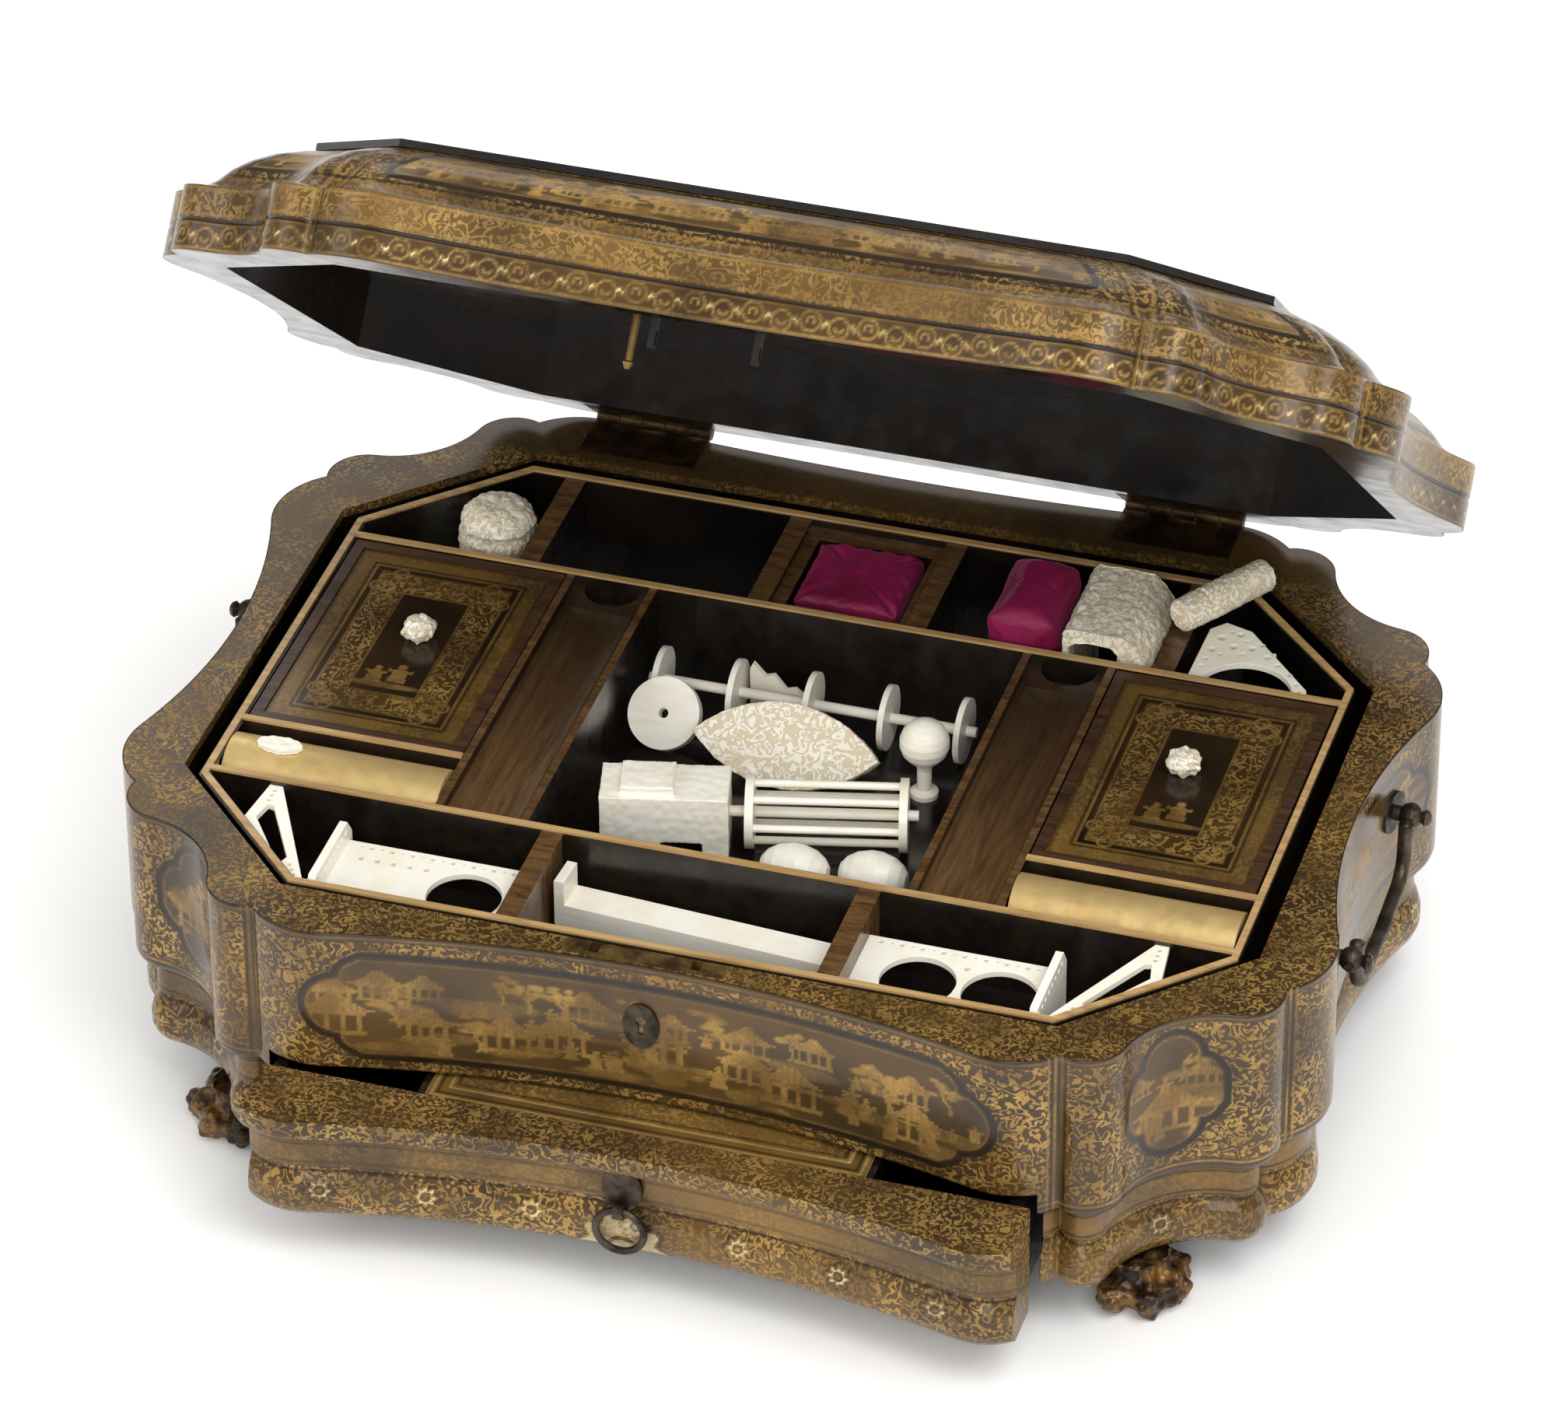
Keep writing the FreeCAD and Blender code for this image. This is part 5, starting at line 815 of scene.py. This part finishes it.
MAKERS = {
    "scene": lambda: lacquer("lacquer_scene"),
    # the last argument lays painted shade along the back of the rim
    "scroll": lambda: lacquer("lacquer_scroll", 290.0, False, 0.0, 0.9, 0.3, True),
    "divider": divider_wood,
    "trough": trough_wood,
    "black": black_lacquer,
    "wood": lambda: wood("bare_wood", rgb(0.028, 0.013, 0.006), rgb(0.085, 0.04, 0.018)),
    "edging": lambda: wood("pale_edging", rgb(0.34, 0.20, 0.075), rgb(0.56, 0.37, 0.16)),
    "gilt": lambda: gilt("gilt_band", rgb(0.66, 0.46, 0.17), rgb(0.50, 0.32, 0.11)),
    "cover": lambda: gilt("gilt_cover", rgb(0.80, 0.58, 0.25), rgb(0.66, 0.45, 0.17), 0.3, 0.8),
    "claw": lambda: gilt("gilt_carving", rgb(0.34, 0.17, 0.04), rgb(0.022, 0.010, 0.004), 0.3, 0.55),
    "bone": bone,
    "plain_bone": plain_bone,
    "bronze": lambda: metal("dark_bronze", rgb(0.11, 0.085, 0.06), rgb(0.03, 0.025, 0.02)),
    "hinge": lambda: metal("hinge_bronze", rgb(0.12, 0.07, 0.028), rgb(0.035, 0.02, 0.01)),
    "brass": lambda: metal("brass", rgb(0.42, 0.27, 0.09), rgb(0.13, 0.08, 0.035)),
    "silk": silk,
    "floor": floor_material,
}


@functools.cache
def material(name):
    return MAKERS[name]()


def dress(obj, name):
    obj.data.materials.clear()
    obj.data.materials.append(material(name))
    return obj


def ease_edges(obj, width=0.35, angle=35.0, segments=2):
    """Small rounded edges, with smooth shading over them."""
    bevel = obj.modifiers.new("edges", "BEVEL")
    bevel.width = width * MM
    bevel.segments = segments
    bevel.limit_method = "ANGLE"
    bevel.angle_limit = math.radians(angle)
    bevel.harden_normals = True
    obj.data.shade_smooth()


NODE_LOOKS = {
    "scroll": ["case_rim", "drawer_front"],
    "black": ["base_moulding", "belt_band", "case_walls", "base_board", "dust_board", "lid_frame",
              "lid_crown", "lid_lining", "lid_top_board", "lid_link_plate", "drawer_sides", "drawer_floor",
              "drawer_partitions", "tray_floor", "tray_walls"],
    "wood": ["drawer_guides", "tray_ledge", "bin_lid_left", "bin_lid_right"],
    "divider": ["tray_dividers", "cushion_frame"],
    "trough": ["troughs"],
    "edging": ["tray_edging"],
    "gilt": ["writing_board"],
    "cover": ["roll_cover_left", "roll_cover_right"],
    "claw": ["feet"],
    "bone": ["round_box_lid", "needle_case", "clamp_body", "shuttle", "bin_knob_left", "bin_knob_right"],
    "plain_bone": ["roll_button", "tray_frets", "bodkin_box", "round_box_base", "spindle_winder",
                   "flat_winders", "turned_tools", "cage_reel", "clamp_block"],
    "bronze": ["escutcheon", "handle_posts", "bail_left", "bail_right", "pull_plate", "pull_ring"],
    "hinge": ["hinge_leaves_case", "hinge_pins", "hinge_leaves_lid"],
    "brass": ["lock_case", "lock_plate", "lock_bolt", "lid_peg"],
    "silk": ["pincushion", "cushion_block"],
}

# Carved pieces: voxel, size of the carving and its depth
CARVED = {
    "round_box_lid": (0.4, 3.2, 1.1), "bin_knob_left": (0.3, 3.0, 1.3), "bin_knob_right": (0.3, 3.0, 1.3),
    "clamp_body": (0.5, 3.6, 0.8), "needle_case": (0.35, 1.9, 0.4), "shuttle": (0.4, 2.6, 0.45),
    "feet": (0.7, 5.5, 3.2), "roll_button": (0.3, 2.4, 0.5), "clamp_block": (0.45, 3.0, 0.35),
}


def carve(obj, voxel, size, depth):
    """Relief cut inwards from the solid's own surface: raised cells with hollows between them."""
    grid = obj.modifiers.new("relief_grid", "REMESH")
    grid.mode = "VOXEL"
    grid.voxel_size = voxel * MM
    grid.use_smooth_shade = True
    relief = bpy.data.textures.new(obj.name + "_relief", "VORONOI")
    relief.noise_scale = size * MM
    relief.distance_metric = "DISTANCE"
    cut = obj.modifiers.new("relief", "DISPLACE")
    cut.texture = relief
    cut.texture_coords = "LOCAL"
    cut.mid_level = 0.0
    cut.strength = -depth * MM


def dress_nodes():
    for look, names in NODE_LOOKS.items():
        for name in names:
            dress(nodes[name], look)
            if name not in CARVED:
                ease_edges(nodes[name], 0.25)
    for name, sizes in CARVED.items():
        carve(nodes[name], *sizes)


BIN_LID_BORDER, BIN_PANEL_DROP = 3.4, 0.7   # bare wood round a bin lid's painted panel, and the panel's depth


def painted_pieces():
    for obj in case_skins():
        dress(obj, "scene")
    dress(drawer_skin(), "scene")
    dress(crown_skin(), "scene")
    edge = profile_skin("lid_edge_skin", LID_EDGE_LEVELS, paint_lid_edge)
    weld(edge)
    thicken(opened(edge))
    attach(edge, "lid")
    dress(edge, "scene")
    top = flat_skin("lid_top_skin", TOP_HALF_W + 0.4, TOP_HALF_D + 0.4, TOP_CANT,
                    LID_TOP_Z + LID_TOP_THICK + SKIN, paint_lid_top, (0, TOP_MID_Y))
    opened(top)
    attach(top, "lid")
    dress(top, "scene")
    for side, body in ((-1, "left_bin_cover"), (1, "right_bin_cover")):
        low, high = (Vector(c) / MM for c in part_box("bin_lid_left" if side < 0 else "bin_lid_right"))
        middle = (low + high) / 2
        panel_skin = flat_skin(f"bin_lid_paint_{body}", (high.x - low.x) / 2 - BIN_LID_BORDER,
                               (high.y - low.y) / 2 - BIN_LID_BORDER, 0, high.z - BIN_PANEL_DROP + SKIN,
                               paint_bin_lid, (middle.x, middle.y), 0.5)
        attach(panel_skin, body)
        dress(panel_skin, "scene")
    low, high = (Vector(c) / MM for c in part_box("writing_board"))
    board = flat_skin("writing_board_paint", (high.x - low.x) / 2 - 0.3, (high.y - low.y) / 2 - 0.3, 0,
                      high.z + SKIN, paint_board, ((low.x + high.x) / 2, (low.y + high.y) / 2))
    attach(board, "drawer")
    dress(board, "scene")


# Silk pads

SIM_SCALE = 10.0            # the pads are puffed up at ten times their size, where cloth behaves well
SIM_FRAMES = 20
PAD_GRID, PAD_EDGE = 0.75, 1.6      # spacing of a pad's points, and the rounding of its edges


def puffed(name, low, high, shrink, cap, fold):
    """Stuffed silk pad: a rounded block, smaller than its box by shrink, blown up by at most cap in a cloth
    simulation, then pleated."""
    middle, size = (low + high) / 2, (high - low) - Vector((2 * shrink,) * 3)
    bpy.ops.mesh.primitive_cube_add(size=1.0)
    pad = bpy.context.object
    pad.name = name
    pad.data.transform(Matrix.Diagonal((*(size * SIM_SCALE * MM), 1.0)))
    ease_edges(pad, PAD_EDGE * SIM_SCALE, 35.0, 3)
    grid = pad.modifiers.new("grid", "REMESH")
    grid.mode = "VOXEL"
    grid.voxel_size = PAD_GRID * SIM_SCALE * MM
    cloth = pad.modifiers.new("puff", "CLOTH")
    cloth.settings.use_pressure = True
    cloth.settings.uniform_pressure_force = 4.0
    cloth.settings.effector_weights.gravity = 0.0
    cloth.settings.quality = 5
    cloth.point_cache.frame_start = 1
    cloth.point_cache.frame_end = SIM_FRAMES
    scene = bpy.context.scene
    still = None
    for number in range(1, SIM_FRAMES + 1):
        scene.frame_set(number)
        state = pad.evaluated_get(bpy.context.evaluated_depsgraph_get())
        if still is None:
            still = np.array([v.co[:] for v in state.data.vertices])
    moved = np.array([v.co[:] for v in state.data.vertices])
    faces = [list(f.vertices) for f in state.data.polygons]
    scene.frame_set(1)
    data = pad.data
    bpy.data.objects.remove(pad)
    bpy.data.meshes.remove(data)
    shift = moved - still
    length = np.linalg.norm(shift, axis=1, keepdims=True)
    limit = cap * SIM_SCALE * MM
    points = (still + shift * np.minimum(1.0, limit / np.maximum(length, 1e-9))) / SIM_SCALE / MM
    points = fold(points, np.array(size) / 2)
    points = np.clip(points, -np.array(high - low) / 2, np.array(high - low) / 2)
    obj = mesh_object(name, points + np.array(middle), faces)
    rounder = obj.modifiers.new("smooth", "SUBSURF")
    rounder.levels = rounder.render_levels = 1
    return obj


def envelope_folds(points, half):
    """Pleats that run from the corners to the middle of the top."""
    x, y, z = points.T
    share = np.clip((z - 0.2 * half[2]) / half[2], 0, 1)
    u, v = x / half[0], y / half[1]
    across = np.abs(np.abs(u) - np.abs(v))
    reach = np.clip(np.maximum(np.abs(u), np.abs(v)) * 1.4, 0, 1)
    groove = np.exp(-(across / 0.1) ** 2) * reach
    ripple = 0.4 * np.sin(16 * np.arctan2(v, u)) * reach
    dimple = np.exp(-(np.hypot(u, v) / 0.16) ** 2)
    return np.column_stack([x, y, z - share * (1.9 * groove + 0.9 * dimple - ripple)])


def ridge_top(points, half):
    """Upright pad: its top falls away to both sides from a ridge, and the silk is gathered at the ends."""
    x, y, z = points.T
    share = np.clip(z / half[2], 0, 1)
    fall = share * (np.abs(x) / half[0]) ** 2 * 2.2
    gather = 0.35 * np.sin(z * 1.1) * np.clip(np.abs(y) / half[1] - 0.6, 0, 1) / 0.4
    return np.column_stack([x + gather * np.sign(x), y, z - fall])


def silk_pads():
    for node, shrink, cap, fold in (("pincushion", 0.5, 1.1, envelope_folds),
                                    ("cushion_block", 0.5, 1.0, ridge_top)):
        low, high = (Vector(c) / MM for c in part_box(node))
        pad = puffed(node + "_silk", low, high, shrink, cap, fold)
        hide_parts(node)
        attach(pad, "tray")
        dress(pad, "silk")


# Pierced bone plates

def plate(name, loops, z0, z1, place=Matrix.Identity(4)):
    """Flat pierced plate: the first loop is its edge, the others are holes."""
    soft_edge = 0.15
    curve = bpy.data.curves.new(name, "CURVE")
    curve.dimensions = "2D"
    curve.fill_mode = "BOTH"
    curve.extrude = ((z1 - z0) / 2 - soft_edge) * MM
    curve.bevel_depth = soft_edge * MM
    curve.bevel_resolution = 1
    curve.offset = -soft_edge * MM
    for loop in loops:
        spline = curve.splines.new("POLY")
        spline.points.add(len(loop) - 1)
        for point, (x, y) in zip(spline.points, loop):
            point.co = (x * MM, y * MM, 0, 1)
        spline.use_cyclic_u = True
    holder = linked(bpy.data.objects.new(name, curve))
    state = holder.evaluated_get(bpy.context.evaluated_depsgraph_get())
    data = bpy.data.meshes.new_from_object(state)
    data.transform(place @ Matrix.Translation((0, 0, (z0 + z1) / 2 * MM)))
    bpy.data.objects.remove(holder)
    bpy.data.curves.remove(curve)
    return linked(bpy.data.objects.new(name, data))


def ring(x, y, r, count=40, start=0.0, end=360.0):
    angles = np.radians(np.linspace(start, end, count, endpoint=end - start < 360))
    if end - start >= 360:
        angles = angles[:-1]
    return [(x + r * math.cos(a), y + r * math.sin(a)) for a in angles]


def flipped(loops, side):
    """The loops themselves for the right side, mirrored for the left."""
    return loops if side > 0 else [[(-x, y) for x, y in loop][::-1] for loop in loops]


# The tray's front row, the slant of its right front corner as x minus y, and the heights of the plates
ROW_FRONT, ROW_BACK = -110.2, -68.3
CANT_LINE = 222.5
FRET_Z = (98.0, 100.0)
SHELF_Z = (92.0, 94.0)
PANEL_Z = (74.0, 101.0)
RACK_LENGTH, RACK_DEPTH, PANEL_THICK = 55.0, 30.7, 2.4
SPOOL_ROW, SPOOL_R = 14.2, 11.0
# For each side: a rack's inner end, its spool holes and its pairs of small holes, as places along it
RACKS = {-1: (51.75, (14.5,), (29.0, 34.0, 39.0, 44.0, 49.0)), 1: (50.05, (19.0, 43.0), (31.0,))}


def corner_fret(side):
    """Three-cornered frame that lies along the slanted corner."""
    far, foot = 137.0, 112.3
    low = far - CANT_LINE
    edge = [(far, low), (far - 2, ROW_BACK), (far - 6, ROW_BACK), (foot - 2.5, ROW_FRONT), (foot, ROW_FRONT)]
    hole = [(far - 3.4, low + 1.5), (far - 4.8, ROW_BACK - 9), (far - 6.6, ROW_BACK - 9.5),
            (foot + 6, ROW_FRONT + 10.2), (foot + 7, ROW_FRONT + 7.7), (foot + 11.5, ROW_FRONT + 12.2)]
    dots = [ring(far - 4.2, ROW_BACK - k * 2.4, 0.7, 9) for k in (1.0, 2.0, 3.0)]
    dots += [ring(foot + 1.6 + k * 1.3, ROW_FRONT + 2.6 + k * 2.2, 0.7, 9) for k in (0.0, 1.0, 2.0)]
    return plate("corner_fret", flipped([edge, hole] + dots, side), *FRET_Z)


def spool_rack(side):
    """Shelf with round holes for spools, and the pierced panel that stands at its outer end."""
    inner, spools, pairs = RACKS[side]
    outer, back, row = inner + RACK_LENGTH, ROW_FRONT + RACK_DEPTH, ROW_FRONT + SPOOL_ROW
    shelf = [(inner, ROW_FRONT), (outer, ROW_FRONT), (outer, back), (inner, back)]
    holes = [ring(inner + x, row, SPOOL_R, 49) for x in spools]
    small = [ring(x, back - 2.2, 0.75, 4 if k % 2 else 9)
             for k, x in enumerate(np.arange(inner + 4, outer - 3, 3.1))]
    small += [ring(inner + x, row + y, 0.9, 9) for x in pairs for y in (-9, 9)]
    top_plate = plate("rack_shelf", flipped([shelf] + holes + small, side), *SHELF_Z)
    low, high = PANEL_Z
    panel_edge = [(ROW_FRONT, low), (back + PANEL_THICK, low), (back + PANEL_THICK, high - 5),
                  (back - 1, high), (ROW_FRONT + 3, high), (ROW_FRONT, high - 4)]
    dots = [ring(y, high - 2.6, 0.8, 9) for y in np.arange(ROW_FRONT + 4, back - 1, 3.4)]
    upright = Matrix(((0, 0, 1, 0), (1, 0, 0, 0), (0, 1, 0, 0), (0, 0, 0, 1)))
    a, b = sorted((side * outer, side * (outer + PANEL_THICK)))
    return [top_plate, plate("rack_panel", [panel_edge] + dots, a, b, upright)]


def back_fret():
    """Pierced plate over the right back corner, with an arched notch."""
    x0, y0 = 106.0, 59.0
    arch = ring(x0 + 18, y0 - 1, 14.0, 25, 176.0, 4.0)
    edge = [(x0, y0), (x0 + 4.0, y0)] + [p for p in arch if p[1] > y0] + [(x0 + 32, y0), (x0 + 37, y0)]
    edge += [(x0 + 35.5, y0 + 4.5), (x0 + 13, y0 + 29), (x0 + 4.5, y0 + 31.5), (x0 + 0.5, y0 + 27)]
    holes = [ring(x0 + x, y0 + y, r, 10) for x, y, r in (
        (3.6, 17, 1.3), (5, 23.5, 1.4), (9.5, 20, 1.4), (10, 26.5, 1.3), (15, 20.5, 1.3), (20.5, 17.5, 1.2),
        (3.0, 12, 0.9), (2.6, 8, 0.8), (6.6, 15.2, 0.8), (13, 17, 0.8), (24.5, 14.4, 1.0), (29, 10.5, 1.0),
        (32, 6.5, 0.9), (7.4, 27.2, 0.8), (12.6, 23.6, 0.8), (17.5, 23, 0.8), (22, 19.5, 0.7),
        (33.5, 3, 0.8))]
    return plate("back_fret", [edge] + holes, *FRET_Z)


def fret_plates():
    made = []
    for side in (-1, 1):
        made.append(corner_fret(side))
        made += spool_rack(side)
    return made + [back_fret()]


def pierced_bone():
    for piece in fret_plates():
        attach(piece, "tray")
        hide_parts("tray_frets")
        dress(piece, "plain_bone")
        piece.data.shade_flat()


def floor():
    size = 3.0
    data = bpy.data.meshes.new("floor")
    corners = [(-size, -size, 0), (size, -size, 0), (size, size, 0), (-size, size, 0)]
    data.from_pydata(corners, [], [(0, 1, 2, 3)])
    obj = linked(bpy.data.objects.new("floor", data))
    data.materials.append(material("floor"))


def area_light(name, place, target, size, power, colour=(1, 1, 1)):
    data = bpy.data.lights.new(name, "AREA")
    data.shape = "RECTANGLE"
    data.size, data.size_y = size
    data.energy = power
    data.color = colour
    obj = bpy.data.objects.new(name, data)
    obj.location = place
    obj.rotation_euler = (Vector(target) - Vector(place)).to_track_quat("-Z", "Y").to_euler()
    linked(obj)


def world():
    """White to the camera, dimmer in reflections so that the lacquer stays dark, soft light otherwise."""
    scene = bpy.context.scene
    scene.world = bpy.data.worlds.new("world")
    scene.world.use_nodes = True
    tree = scene.world.node_tree
    soft_light = tree.nodes["Background"]
    path = tree.nodes.new("ShaderNodeLightPath")
    last = soft_light.outputs[0]
    soft_light.inputs["Color"].default_value = rgb(1.0, 0.99, 0.97)
    soft_light.inputs["Strength"].default_value = 0.85
    for ray, colour, strength in (("Is Glossy Ray", rgb(1.0, 0.97, 0.93), 0.35),
                                  ("Is Camera Ray", rgb(0.98, 0.98, 0.98), 1.0)):
        shade = tree.nodes.new("ShaderNodeBackground")
        shade.inputs["Color"].default_value = colour
        shade.inputs["Strength"].default_value = strength
        mix = tree.nodes.new("ShaderNodeMixShader")
        tree.links.new(path.outputs[ray], mix.inputs[0])
        tree.links.new(last, mix.inputs[1])
        tree.links.new(shade.outputs[0], mix.inputs[2])
        last = mix.outputs[0]
    tree.links.new(last, tree.nodes["World Output"].inputs["Surface"])


# The view, solved from the photograph's straight edges: degrees, metres and pixels
VIEW_AZIMUTH, VIEW_ELEVATION, VIEW_ROLL = 17.34, 35.77, 0.37
VIEW_PLACE = (0.5695, -1.8236, 1.3803 + RIM_TOP * MM)
FOCAL_PIXELS, PHOTO_WIDTH_PIXELS = 10351.5, 2016
SENSOR_WIDTH = 36.0


def camera():
    """Long lens from the right front, above."""
    azimuth, elevation, roll = (math.radians(a) for a in (VIEW_AZIMUTH, VIEW_ELEVATION, VIEW_ROLL))
    right = Vector((math.cos(azimuth), math.sin(azimuth), 0))
    level = Vector((-math.sin(azimuth), math.cos(azimuth), 0))
    ahead = level * math.cos(elevation) - Vector((0, 0, 1)) * math.sin(elevation)
    up = right.cross(ahead)
    data = bpy.data.cameras.new("camera")
    data.sensor_width = SENSOR_WIDTH
    data.lens = SENSOR_WIDTH * FOCAL_PIXELS / PHOTO_WIDTH_PIXELS
    data.clip_end = 20
    obj = bpy.data.objects.new("camera", data)
    spin = Matrix.Rotation(roll, 3, ahead)
    turn = Matrix((spin @ right, spin @ up, -(spin @ ahead))).transposed()
    obj.matrix_world = Matrix.Translation(VIEW_PLACE) @ turn.to_4x4()
    bpy.context.scene.camera = linked(obj)


def studio():
    floor()
    world()
    area_light("key", (0.9, -0.7, 1.9), (0, 0, 0.1), (1.3, 1.3), 22)
    area_light("fill", (-1.6, -1.3, 1.2), (0, 0, 0.1), (1.6, 1.2), 9)
    area_light("front", (0.5, -2.0, 1.25), (0, 0, 0.1), (0.9, 0.9), 13, (1.0, 0.97, 0.92))
    area_light("back", (-0.4, 1.7, 1.5), (0, 0, 0.15), (1.8, 0.9), 7)
    camera()
    bpy.context.scene.view_settings.view_transform = "Standard"


dress_nodes()
painted_pieces()
silk_pads()
pierced_bone()
studio()
